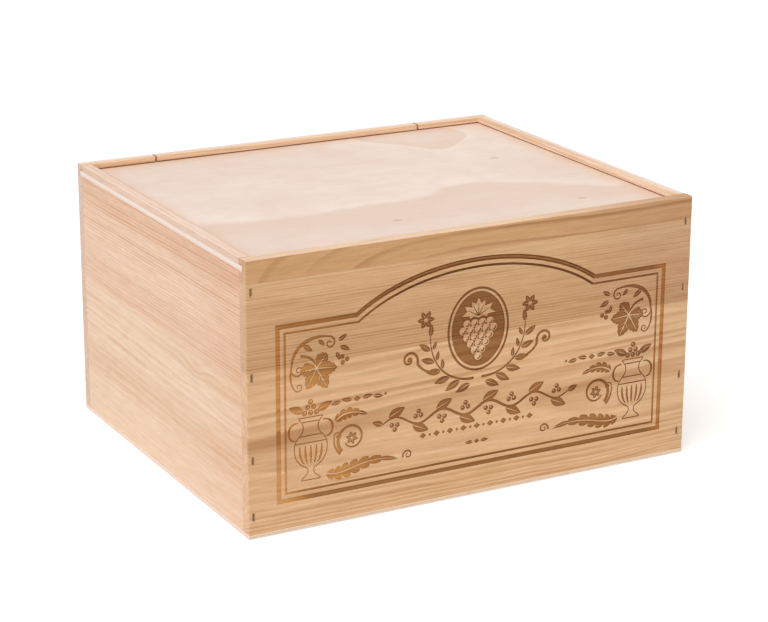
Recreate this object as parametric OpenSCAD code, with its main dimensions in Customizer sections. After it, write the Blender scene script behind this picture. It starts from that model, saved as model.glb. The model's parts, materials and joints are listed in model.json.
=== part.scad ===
// Sliding-lid wine case for six bottles that lie in two layers of three.
// Four walls of edge-glued boards stand on a thin sheet and are stapled at the corners.
// The left wall is lower, so that the lid slides out over it in grooves of the other three.
// Origin: centre of the underside. +X runs right along the front, -Y faces the front, +Z is up.

/* [Case] */
// Outside length, along the front
case_length = 340; // [300:1:400]
// Outside depth, from front to back
case_depth = 284; // [240:1:340]
// Outside height, from the underside to the rim
case_height = 188; // [150:1:240]
// Thickness of the wall boards
wall_thickness = 9; // [8:0.5:14]
// Thickness of the bottom sheet
bottom_thickness = 3; // [2.5:0.5:6]
// Width by which the outer edges are eased
edge_ease = 0.6; // [0.2:0.1:1.2]

/* [Boards] */
// Height of the grooved board along the top of the front
front_top_height = 15.5; // [14:0.5:30]
// Height of the front's middle board
front_middle_height = 59.5; // [30:0.5:80]
// Height of the back's upper board, which is grooved
back_upper_height = 88; // [40:0.5:110]
// Height of the left wall's lower board
left_lower_height = 99; // [40:0.5:110]
// Height of the right wall's lower board
right_lower_height = 85; // [40:0.5:110]

/* [Lid] */
// Thickness of the lid sheet
lid_thickness = 4.5; // [4:0.5:6]
// Height of the lip that holds the lid down
lip_height = 3.6; // [3.2:0.1:6]
// Depth of the grooves
groove_depth = 4.5; // [3:0.5:5.5]
// Play between the lid and the lip above it
lid_play_above = 0.9; // [0.2:0.1:1]
// Play between the lid's long edges and the groove bottoms
lid_play_side = 0.7; // [0.3:0.1:1.5]
// Play between the lid's leading edge and the right wall's groove
lid_play_end = 0.5; // [0.3:0.1:1.5]
// Width of the pull strip on the lid's left end
strip_width = 13; // [10:0.5:20]
// Width of the strip's flat top, from where it slopes down
strip_flat = 7; // [6:0.5:9]
// Height of the strip's inner edge below the slope
strip_foot = 0.8; // [0.4:0.1:2]
// Play between the strip's ends and the lips
strip_play = 0.7; // [0.3:0.1:2]

/* [Back lip] */
// Width of the two saw cuts through the back lip
kerf_width = 1.6; // [1:0.1:3]
// Distance of the left cut from the left wall's outer face
left_kerf_place = 58; // [30:1:100]
// Distance of the right cut from the right wall's outer face
right_kerf_place = 63; // [30:1:100]

/* [Staples] */
// Outside width of a staple's crown
staple_crown = 5.8; // [4:0.1:7]
// Width of the wire, seen on the crown
wire_width = 1.25; // [0.8:0.05:1.6]
// Thickness of the wire
wire_thickness = 1.05; // [0.6:0.05:1.3]
// Length of the legs through a wall into the next one
corner_leg = 25; // [20:1:35]
// Length of the legs through the bottom sheet into the walls
bottom_leg = 22; // [15:1:30]
// Length of the legs through the lid into the pull strip
strip_leg = 7.5; // [6:0.5:8]
// Depth to which the crowns are sunk
staple_sink = 0.3; // [0.1:0.05:0.5]
// Distance of the left staples from the left end of the front and back
left_column_inset = 3.5; // [3:0.1:6]
// Height of the lowest left staple
left_column_low = 15; // [10:0.5:25]
// Distance of the highest left staple below the rim
left_column_high = 21; // [15:0.5:30]
// Places of the left staples, as shares of the way up
left_column_shares = [0, 0.257, 0.625, 1]; // [0:0.001:1]
// Distance of the right staples from the right end of the front and back
right_column_inset = 5; // [3:0.1:6]
// Height of the lowest right staple
right_column_low = 17; // [10:0.5:25]
// Distance of the highest right staple below the rim
right_column_high = 17; // [15:0.5:30]
// Places of the right staples, as shares of the way up
right_column_shares = [0, 0.273, 0.692, 1]; // [0:0.001:1]
// Distance of the outermost bottom staples from the ends of the front and back
bottom_long_end = 61; // [35:1:80]
// Number of bottom staples under the front, and under the back
bottom_long_count = 4; // [2:1:6]
// Distance of the outermost bottom staples from the ends of the side walls
bottom_short_end = 40; // [20:1:60]
// Number of bottom staples under each side wall
bottom_short_count = 3; // [2:1:5]
// Distance of the strip's staples from the lid's left edge
strip_staple_inset = 4; // [2:0.5:6]
// Distance of the strip's outermost staples from its ends
strip_staple_end = 30; // [15:1:60]
// Number of staples in the pull strip
strip_staple_count = 4; // [2:1:6]

/* [Hidden] */
// How far a cut runs past the surface that it opens
cut_over = 1;
// Facets of the staples' bends
bend_facets = 24;

left_face = -case_length / 2;
right_face = case_length / 2;
front_face = -case_depth / 2;
inner_depth = case_depth - 2 * wall_thickness;

groove_top = case_height - lip_height;
groove_floor = groove_top - lid_play_above - lid_thickness;
lid_top = groove_floor + lid_thickness;
lid_right_end = right_face - wall_thickness + groove_depth - lid_play_end;
lid_width = inner_depth + 2 * (groove_depth - lid_play_side);
strip_length = inner_depth - 2 * strip_play;

front_upper_joint = case_height - front_top_height;
front_lower_joint = front_upper_joint - front_middle_height;
back_joint = case_height - back_upper_height;
left_joint = bottom_thickness + left_lower_height;
right_joint = bottom_thickness + right_lower_height;

tan_pine = "#CFA376";
dark_pine = "#C0966A";
pale_pine = "#EBCBAA";
pale_ply = "#EEDACB";
orange_pine = "#E3B188";
dark_steel = "#5A4A3C";

// Even places from one end margin to the other, centred on zero
function even_places(length, margin, count) =
    [for (i = [0:count - 1]) -length / 2 + margin + i * (length - 2 * margin) / (count - 1)];

// Heights of a column of staples between its lowest and its highest one
function column_heights(low, high, shares) =
    [for (share = shares) low + share * (case_height - high - low)];

// Extrudes an outline drawn in Y and Z along X
module along_x(length) {
    rotate([90, 0, 90]) linear_extrude(length, center = true) children();
}

// Extrudes an outline drawn in X and Z along Y
module along_y(length) {
    rotate([90, 0, 0]) linear_extrude(length, center = true) children();
}

// Plan of the whole case, with its four upright corners eased
module case_plan() {
    polygon([
        for (corner = [[1, 1], [-1, 1], [-1, -1], [1, -1]])
            for (turn = corner[0] * corner[1] > 0 ? [0, 1] : [1, 0])
                [corner[0] * (case_length / 2 - turn * edge_ease),
                 corner[1] * (case_depth / 2 - (1 - turn) * edge_ease)]
    ]);
}

// Section of a grooved wall: first its outer face at 0, then the rim, the lip and the groove
module grooved_section() {
    polygon([
        [0, bottom_thickness],
        [0, case_height - edge_ease],
        [edge_ease, case_height],
        [wall_thickness - edge_ease, case_height],
        [wall_thickness, case_height - edge_ease],
        [wall_thickness, groove_top],
        [wall_thickness - groove_depth, groove_top],
        [wall_thickness - groove_depth, groove_floor],
        [wall_thickness, groove_floor],
        [wall_thickness, bottom_thickness]
    ]);
}

// The part of a wall that one board makes, between two glued joints
module board_between(low, high) {
    intersection() {
        children();
        translate([-case_length, -case_depth, low])
            cube([2 * case_length, 2 * case_depth, high - low]);
    }
}

// Outline of one bent wire, drawn with the driving direction along +X and the crown along Y
module staple_outline(leg) {
    translate([0, -staple_crown / 2 + wire_thickness])
        square([wire_thickness, staple_crown - 2 * wire_thickness]);
    for (side = [0, 1])
        mirror([0, side])
            translate([wire_thickness, staple_crown / 2 - wire_thickness]) {
                intersection() {
                    circle(r = wire_thickness, $fn = bend_facets);
                    translate([-wire_thickness, 0]) square(wire_thickness);
                }
                // Leg with a chisel point, cut so that it spreads as it is driven
                polygon([
                    [0, 0], [leg - wire_thickness, 0],
                    [leg - 2 * wire_thickness, wire_thickness], [0, wire_thickness]
                ]);
            }
}

// Staple with the outer side of its crown at the origin, crown upright and legs along +Y
module staple(leg) {
    along_x(wire_width) staple_outline(leg);
}

// The wood that a staple displaces, with the slot that its sunk crown leaves in the surface
module staple_seat(leg) {
    translate([0, staple_sink, 0]) staple(leg);
    along_x(wire_width)
        translate([-cut_over, -staple_crown / 2])
            square([cut_over + staple_sink + wire_thickness, staple_crown]);
}

// Places children at every staple of the front wall, on its outer face
module at_front_staples() {
    for (z = column_heights(left_column_low, left_column_high, left_column_shares))
        translate([left_face + left_column_inset, front_face, z]) children();
    for (z = column_heights(right_column_low, right_column_high, right_column_shares))
        translate([right_face - right_column_inset, front_face, z]) children();
}

// Turns a staple so that its legs point up and its crown lies along X
module driven_up() {
    rotate([90, 0, 90]) children();
}

// Places children at every staple of the bottom sheet, along the middle of each wall
module at_bottom_staples() {
    wall_middle = wall_thickness / 2;
    for (side = [-1, 1]) {
        for (x = even_places(case_length, bottom_long_end, bottom_long_count))
            translate([x, side * (case_depth / 2 - wall_middle), 0])
                driven_up() children();
        for (y = even_places(inner_depth, bottom_short_end, bottom_short_count))
            translate([side * (case_length / 2 - wall_middle), y, 0])
                rotate([0, 0, 90]) driven_up() children();
    }
}

// Places children at every staple that comes up through the lid into the pull strip
module at_strip_staples() {
    for (y = even_places(strip_length, strip_staple_end, strip_staple_count))
        translate([left_face + strip_staple_inset, y, groove_floor])
            rotate([0, 0, 90]) driven_up() children();
}

// Wall as long as the case, on the front side, with its upright corners eased
module long_wall() {
    difference() {
        intersection() {
            translate([0, front_face, 0]) along_x(case_length) grooved_section();
            linear_extrude(case_height) case_plan();
        }
        at_front_staples() staple_seat(corner_leg);
        at_bottom_staples() staple_seat(bottom_leg);
    }
}

module back_wall() {
    difference() {
        mirror([0, 1, 0]) long_wall();
        for (x = [left_face + left_kerf_place, right_face - right_kerf_place])
            translate([x, -front_face - wall_thickness / 2, groove_top + lip_height / 2 + cut_over / 2])
                cube([kerf_width, wall_thickness + 2 * cut_over, lip_height + cut_over], center = true);
    }
}

// Low wall between the front and the back, level with the groove floors
module left_wall() {
    difference() {
        translate([left_face, 0, bottom_thickness])
            along_y(inner_depth) square([wall_thickness, groove_floor - bottom_thickness]);
        at_corner_staples() staple_seat(corner_leg);
        at_bottom_staples() staple_seat(bottom_leg);
    }
}

// Full wall between the front and the back, whose groove stops the lid
module right_wall() {
    difference() {
        translate([right_face, 0, 0]) mirror([1, 0, 0]) along_y(inner_depth) grooved_section();
        at_corner_staples() staple_seat(corner_leg);
        at_bottom_staples() staple_seat(bottom_leg);
    }
}

// Staples of both long walls
module at_corner_staples() {
    at_front_staples() children();
    mirror([0, 1, 0]) at_front_staples() children();
}

module front_top_board() {
    color(dark_pine) board_between(front_upper_joint, case_height) long_wall();
}

module front_middle_board() {
    color(tan_pine) board_between(front_lower_joint, front_upper_joint) long_wall();
}

module front_bottom_board() {
    color(tan_pine) board_between(bottom_thickness, front_lower_joint) long_wall();
}

module back_upper_board() {
    color(orange_pine) board_between(back_joint, case_height) back_wall();
}

module back_lower_board() {
    color(tan_pine) board_between(bottom_thickness, back_joint) back_wall();
}

module left_upper_board() {
    color(pale_pine) board_between(left_joint, groove_floor) left_wall();
}

module left_lower_board() {
    color(pale_pine) board_between(bottom_thickness, left_joint) left_wall();
}

module right_upper_board() {
    color(orange_pine) board_between(right_joint, case_height) right_wall();
}

module right_lower_board() {
    color(tan_pine) board_between(bottom_thickness, right_joint) right_wall();
}

module bottom_sheet() {
    color(pale_ply)
        difference() {
            linear_extrude(bottom_thickness) case_plan();
            at_bottom_staples() staple_seat(bottom_leg);
        }
}

// Thin sheet whose leading edge is eased to find the grooves
module lid_sheet() {
    color(pale_ply)
        difference() {
            along_y(lid_width)
                polygon([
                    [left_face, groove_floor],
                    [left_face, lid_top],
                    [lid_right_end - edge_ease, lid_top],
                    [lid_right_end, lid_top - edge_ease],
                    [lid_right_end, groove_floor + edge_ease],
                    [lid_right_end - edge_ease, groove_floor]
                ]);
            at_strip_staples() staple_seat(strip_leg);
        }
}

// Strip that closes the gap above the lid's left end, level with the rim, to pull the lid by
module lid_pull_strip() {
    color(pale_pine)
        difference() {
            translate([left_face, 0, 0])
                along_y(strip_length)
                    polygon([
                        [0, lid_top],
                        [0, case_height - edge_ease],
                        [edge_ease, case_height],
                        [strip_flat, case_height],
                        [strip_width, lid_top + strip_foot],
                        [strip_width, lid_top]
                    ]);
            at_strip_staples() staple_seat(strip_leg);
        }
}

module front_staples() {
    color(dark_steel) at_front_staples() translate([0, staple_sink, 0]) staple(corner_leg);
}

module back_staples() {
    color(dark_steel)
        mirror([0, 1, 0]) at_front_staples() translate([0, staple_sink, 0]) staple(corner_leg);
}

module bottom_staples() {
    color(dark_steel) at_bottom_staples() translate([0, staple_sink, 0]) staple(bottom_leg);
}

module strip_staples() {
    color(dark_steel) at_strip_staples() translate([0, staple_sink, 0]) staple(strip_leg);
}

front_top_board();
front_middle_board();
front_bottom_board();
back_upper_board();
back_lower_board();
left_upper_board();
left_lower_board();
right_upper_board();
right_lower_board();
bottom_sheet();
lid_sheet();
lid_pull_strip();
front_staples();
back_staples();
bottom_staples();
strip_staples();
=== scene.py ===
"""Dresses a sliding-lid wine case: pine planks, plywood, staples and a burnt ornament.

The classes hold their sizes in millimetres, in the case's own frame: +X runs right along the
front, -Y faces the front and +Z is up, with the origin at the centre of the underside.
"""

from __future__ import annotations

import json
import logging
import math
import random
import sys
from abc import ABC, abstractmethod
from collections.abc import Callable, Iterable, Iterator
from contextlib import contextmanager
from dataclasses import dataclass, field, replace
from enum import IntEnum
from typing import TypeAlias

import bmesh
import bpy
from mathutils import Matrix, Vector

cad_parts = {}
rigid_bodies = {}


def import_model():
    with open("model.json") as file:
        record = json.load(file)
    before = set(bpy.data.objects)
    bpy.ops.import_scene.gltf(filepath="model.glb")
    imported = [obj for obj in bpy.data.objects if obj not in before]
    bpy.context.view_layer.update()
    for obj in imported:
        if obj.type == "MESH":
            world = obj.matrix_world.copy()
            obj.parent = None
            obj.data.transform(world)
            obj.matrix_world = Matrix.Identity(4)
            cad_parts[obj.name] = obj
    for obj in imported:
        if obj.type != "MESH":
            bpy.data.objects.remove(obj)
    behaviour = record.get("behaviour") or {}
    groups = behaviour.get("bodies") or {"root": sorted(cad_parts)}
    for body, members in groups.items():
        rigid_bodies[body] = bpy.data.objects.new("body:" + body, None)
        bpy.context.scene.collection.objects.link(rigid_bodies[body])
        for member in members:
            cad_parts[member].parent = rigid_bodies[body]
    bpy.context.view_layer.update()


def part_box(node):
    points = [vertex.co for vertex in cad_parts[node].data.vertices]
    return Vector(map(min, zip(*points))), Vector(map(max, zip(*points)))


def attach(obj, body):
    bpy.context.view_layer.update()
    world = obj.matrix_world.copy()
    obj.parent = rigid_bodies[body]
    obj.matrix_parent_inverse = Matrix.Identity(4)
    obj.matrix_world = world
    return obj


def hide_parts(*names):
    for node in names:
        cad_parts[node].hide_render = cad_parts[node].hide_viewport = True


MM = 0.001
TOUCH = 0.02  # places that lie closer together than this are one
OVERCUT = 1.0  # how far a cutter reaches past the wood
FLAT = 0.9  # share of a normal along an axis from which its face counts as facing that way
LEVEL = 0.6  # share of a normal along Z from which a rounded face still counts as level

Spot = tuple[float, float]
Point = tuple[float, float, float]
Outline = list[Spot]
Piece = bpy.types.Object
Finish = bpy.types.Material
Value: TypeAlias = "Amount | bpy.types.NodeSocket | Iterable[float] | float | str"

log = logging.getLogger("wine_case")


class Axis(IntEnum):
    """An axis of the case, along which grain runs, walls face or staples are driven."""

    X = 0
    Y = 1
    Z = 2


# ---------------------------------------------------------------------------------- bench


def channels(tone: str) -> list[int]:
    """Splits a tone such as "#C9A072" into red, green and blue, each from 0 to 255."""
    return [int(tone[i : i + 2], 16) for i in (1, 3, 5)]


def linear(tone: str) -> list[float]:
    """Gives the colour that Blender works with for a tone as it looks on a screen."""
    shares = [channel / 255 for channel in channels(tone)]
    return [c / 12.92 if c <= 0.04045 else ((c + 0.055) / 1.055) ** 2.4 for c in shares] + [1.0]


def blended(tone: str, other: str, share: float) -> str:
    """Gives a tone that lies a share of the way to another one."""
    mixed = (round(a + (b - a) * share) for a, b in zip(channels(tone), channels(other)))
    return "#" + "".join(f"{channel:02X}" for channel in mixed)


def near(value: float, *places: float) -> bool:
    """Tells whether a value lies at one of the places."""
    return any(abs(value - place) < TOUCH for place in places)


def take_up(*pieces: Piece) -> None:
    """Selects nothing but some pieces, or nothing at all.

    Args:
        pieces: the pieces, all of which may be joined to the first.
    """
    for chosen in list(bpy.context.selected_objects):
        chosen.select_set(False)
    for piece in pieces:
        piece.select_set(True)
    if pieces:
        bpy.context.view_layer.objects.active = pieces[0]


def discard(*pieces: Piece) -> None:
    """Throws pieces away."""
    for piece in pieces:
        bpy.data.meshes.remove(piece.data)


@contextmanager
def editing(piece: Piece, choice: str = "DESELECT") -> Iterator[None]:
    """Keeps a piece in edit mode.

    Args:
        piece: the piece.
        choice: "SELECT" where all of it is selected at first.

    Yields:
        Nothing, and leaves edit mode afterwards.
    """
    take_up(piece)
    bpy.ops.object.mode_set(mode="EDIT")
    bpy.ops.mesh.select_all(action=choice)
    yield
    bpy.ops.object.mode_set(mode="OBJECT")


def add_block(name: str, low: Iterable[float], high: Iterable[float], finish: Finish) -> Piece:
    """Adds a block between two corners.

    Args:
        name: name of the new piece.
        low: lowest corner, in millimetres.
        high: highest corner.
        finish: finish of its faces.

    Returns:
        The block, with its place in its mesh.
    """
    take_up()
    centre = [(a + b) / 2 * MM for a, b in zip(low, high)]
    size = [(b - a) * MM for a, b in zip(low, high)]
    bpy.ops.mesh.primitive_cube_add(size=1, location=centre, scale=size)
    block = bpy.context.active_object
    bpy.ops.object.transform_apply(location=True, rotation=True, scale=True)
    block.name = name
    paint(block, finish)
    return block


@dataclass(frozen=True)
class Edge:
    """The two ends of an edge, in millimetres."""

    first: Vector
    second: Vector

    def at(self, axis: Axis, *places: float) -> bool:
        """Tells whether both ends lie at one of the places along an axis."""
        return near(self.first[axis], *places) and near(self.second[axis], *places)

    def across(self, axis: Axis) -> bool:
        """Tells whether both ends lie equally far along an axis."""
        return near(self.first[axis], self.second[axis])


def ease_edges(piece: Piece, width: float, where: Callable[[Edge], bool], steps: int = 3) -> None:
    """Rounds the edges of a piece that lie where asked.

    Args:
        piece: the piece to shape.
        width: width of the rounding, in millimetres.
        where: tells whether an edge is rounded.
        steps: number of facets across the rounding.
    """
    with editing(piece):
        bpy.ops.mesh.select_mode(type="EDGE")
        mesh = bmesh.from_edit_mesh(piece.data)
        for edge in mesh.edges:
            edge.select_set(where(Edge(*(vert.co / MM for vert in edge.verts))))
        mesh.select_flush_mode()
        bmesh.update_edit_mesh(piece.data)
        bpy.ops.mesh.bevel(offset=width * MM, segments=steps, affect="EDGES")


def paint(
    piece: Piece, finish: Finish, where: Callable[[Vector, Vector], bool] = lambda spot, normal: True
) -> None:
    """Gives the faces of a piece that lie where asked a finish, over those that it has.

    Args:
        piece: the piece to dress.
        finish: the finish of those faces.
        where: tells from a face's centre in millimetres and its normal whether it is painted.
    """
    piece.data.materials.append(finish)
    for face in piece.data.polygons:
        if where(face.center / MM, face.normal):
            face.material_index = len(piece.data.materials) - 1


class Chisels:
    """A set of cutters that are taken out of pieces together."""

    def __init__(self) -> None:
        """Starts an empty set."""
        self.shelf = bpy.data.collections.new("chisels")
        bpy.context.scene.collection.children.link(self.shelf)

    def add(self, *cutters: Piece) -> None:
        """Moves cutters to the set.

        Args:
            cutters: closed meshes, in the order in which they cut.
        """
        for cutter in cutters:
            for shelf in list(cutter.users_collection):
                shelf.objects.unlink(cutter)
            self.shelf.objects.link(cutter)

    def cut(self, *pieces: Piece) -> None:
        """Takes the cutters out of some pieces and then throws them away.

        Args:
            pieces: the pieces, whose new faces get the cutters' finishes.
        """
        for piece in pieces:
            take_up(piece)
            cut = piece.modifiers.new("cut", "BOOLEAN")
            cut.operation = "DIFFERENCE"
            cut.solver = "MANIFOLD"
            cut.operand_type = "COLLECTION"
            cut.collection = self.shelf
            cut.material_mode = "TRANSFER"
            bpy.ops.object.modifier_apply(modifier=cut.name)
        discard(*self.shelf.objects)
        bpy.data.collections.remove(self.shelf)


def corners(node: str) -> tuple[Point, Point]:
    """Gives the lowest and highest corner of a CAD node, in millimetres."""
    low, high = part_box(node)
    return tuple(c / MM for c in low), tuple(c / MM for c in high)


def hand_over(piece: Piece, body: str, node: str) -> None:
    """Hands a finished piece over to the frame.

    Args:
        piece: the piece.
        body: the body that it moves with.
        node: the CAD node that it stands for, which is hidden.
    """
    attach(piece, body)
    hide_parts(node)
    log.info("%s rides on %s, %d faces", piece.name, body, len(piece.data.polygons))


# -------------------------------------------------------------------------------- finishes


class Amount:
    """A number that a recipe works out at every place."""

    def __init__(self, recipe: Recipe, socket: bpy.types.NodeSocket) -> None:
        """Takes the recipe and the socket that the number comes out of."""
        self.recipe, self.socket = recipe, socket

    def math(self, operation: str, other: Value = 0.0) -> Amount:
        """Gives the result of one sum on it and another number."""
        node = self.recipe.node("Math", {0: self, 1: other}, operation=operation)
        return Amount(self.recipe, node.outputs["Value"])

    def __add__(self, other: Value) -> Amount:
        """Gives the sum of both numbers."""
        return self.math("ADD", other)

    def __sub__(self, other: Value) -> Amount:
        """Gives how much it is above the other number."""
        return self.math("SUBTRACT", other)

    def __mul__(self, other: Value) -> Amount:
        """Gives the product of both numbers."""
        return self.math("MULTIPLY", other)

    def __truediv__(self, other: float) -> Amount:
        """Gives the number divided by a constant."""
        return self * (1 / other)

    def span(self, other: Amount) -> Amount:
        """Gives the length of a line that reaches this far along one axis and so far along another."""
        return (self * self + other * other).math("SQRT")

    def ease(self, start: float, end: float) -> Amount:
        """Gives a soft step that follows the number.

        Args:
            start: value at which it is 0.
            end: value at which it is 1, which may come first.

        Returns:
            The step.
        """
        (low, at_low), (high, at_high) = sorted(((start, 0.0), (end, 1.0)))
        feeds = {"Value": self, "From Min": low, "From Max": high, "To Min": at_low, "To Max": at_high}
        node = self.recipe.node("MapRange", feeds, interpolation_type="SMOOTHSTEP")
        return Amount(self.recipe, node.outputs["Result"])


class Recipe:
    """Writes the nodes of a material or of a world."""

    def __init__(self, owner: Finish | bpy.types.World) -> None:
        """Clears the owner's nodes.

        Args:
            owner: the material or the world.
        """
        owner.use_nodes = True
        self.owner, self.tree = owner, owner.node_tree
        self.tree.nodes.clear()

    def feed(self, socket: bpy.types.NodeSocket, value: Value) -> None:
        """Links a socket to where a value comes out, or sets it to a constant.

        Args:
            socket: the socket.
            value: an amount, another socket, a tone or a constant.
        """
        if isinstance(value, Amount):
            value = value.socket
        if isinstance(value, bpy.types.NodeSocket):
            self.tree.links.new(value, socket)
        else:
            socket.default_value = linear(value) if isinstance(value, str) else value

    def node(self, kind: str, feeds: dict[int | str, Value], **settings: str) -> bpy.types.Node:
        """Adds a node.

        Args:
            kind: kind of node.
            feeds: what goes into its sockets.
            settings: its settings.

        Returns:
            The node.
        """
        node = self.tree.nodes.new(f"ShaderNode{kind}")
        for name, setting in settings.items():
            setattr(node, name, setting)
        for socket, value in feeds.items():
            self.feed(node.inputs[socket], value)
        return node

    def seen(self) -> Amount:
        """Tells the camera's rays from those of all other light.

        Returns:
            1 for the camera, straight, mirrored or through glass, and 0 for the rest.
        """
        rays = self.node("LightPath", {}).outputs
        seen = Amount(self, rays["Is Camera Ray"]).math("MAXIMUM", rays["Is Glossy Ray"])
        return seen.math("MAXIMUM", rays["Is Transmission Ray"])


class Coat(Recipe):
    """Writes a finish round a single Principled shader, from the spot in millimetres."""

    def __init__(self, name: str) -> None:
        """Starts a bare finish.

        Args:
            name: its name.
        """
        super().__init__(bpy.data.materials.new(name))
        self.shader = self.node("BsdfPrincipled", {})
        self.node("OutputMaterial", {"Surface": self.shader.outputs["BSDF"]})
        place = self.node("TexCoord", {}).outputs["Object"]
        place = self.node("VectorMath", {0: place, "Scale": 1 / MM}, operation="SCALE").outputs["Vector"]
        self.spot = [Amount(self, part) for part in self.node("SeparateXYZ", {0: place}).outputs]

    def join(self, *parts: Value) -> bpy.types.NodeSocket:
        """Gives a vector or a colour of three parts."""
        return self.node("CombineXYZ", dict(enumerate(parts))).outputs["Vector"]

    def noise(self, spot: Iterable[Value], detail: float = 2.0, rough: float = 0.5) -> Amount:
        """Gives smooth noise from 0 to 1, about one unit of the spot apart."""
        feeds = {"Vector": self.join(*spot), "Scale": 1.0, "Detail": detail, "Roughness": rough}
        return Amount(self, self.node("TexNoise", feeds).outputs["Fac"])

    def chance(self, value: Amount, seed: float) -> Amount:
        """Gives a fixed random number for each whole value."""
        feeds = {"Vector": self.join(value.math("FLOOR"), seed, 0.0)}
        return Amount(self, self.node("TexWhiteNoise", feeds, noise_dimensions="2D").outputs["Value"])

    def mix(self, amount: Value, first: Value, second: Value, way: str = "MIX") -> bpy.types.NodeSocket:
        """Gives a blend of two colours."""
        feeds = {"Factor": amount, 6: first, 7: second}
        return self.node("Mix", feeds, data_type="RGBA", blend_type=way).outputs[2]

    def shaded(self, tone: Value, *shades: Value) -> bpy.types.NodeSocket:
        """Gives a tone times a shade, or times one for each channel."""
        return self.mix(1.0, tone, self.join(*(shades * 3)[:3]), "MULTIPLY")

    def relief(self, height: Value, depth: float) -> None:
        """Raises the surface by height times depth, in millimetres, as the light sees it."""
        bump = self.node("Bump", {"Strength": 1.0, "Distance": depth * MM, "Height": height})
        self.feed(self.shader.inputs["Normal"], bump.outputs["Normal"])

    def done(self, tone: Value, roughness: Value, gloss: float = 0.3, **others: Value) -> Finish:
        """Sets the shader's sockets.

        Args:
            tone: its colour.
            roughness: its roughness.
            gloss: its specular level.
            others: its other sockets, with underscores for spaces.

        Returns:
            The material.
        """
        named = {name.replace("_", " "): value for name, value in others.items()}
        named |= {"Base Color": tone, "Roughness": roughness, "Specular IOR Level": gloss}
        for name, value in named.items():
            self.feed(self.shader.inputs[name], value)
        return self.owner


@dataclass(frozen=True)
class Tint:
    """A tone that a wood turns to, and how far it goes there, from 0 to 1."""

    tone: str
    share: float


@dataclass(frozen=True)
class Fade:
    """A tone that a wood turns to between two places, in millimetres."""

    start: float
    end: float
    tone: str = "#F8E2D4"


@dataclass(frozen=True)
class Streak:
    """A level stretch of a board where the rings show more, or which is darker.

    Heights are in millimetres.
    """

    low: float
    high: float
    rings: float = 0.0
    shade: float = 0.0
    soft: float = 3.0


@dataclass(frozen=True)
class Swell:
    """A place where something swells. Its middle and its reach are in millimetres."""

    middle: Spot
    reach: Spot
    height: float

    def bulge(self, across: Amount, up: Amount) -> Amount:
        """Gives the swelling at a place, which is its full height in the middle."""
        first, second = ((c - m) / r for c, m, r in zip((across, up), self.middle, self.reach))
        return ((first * first + second * second) * -1.0).math("EXPONENT") * self.height


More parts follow.
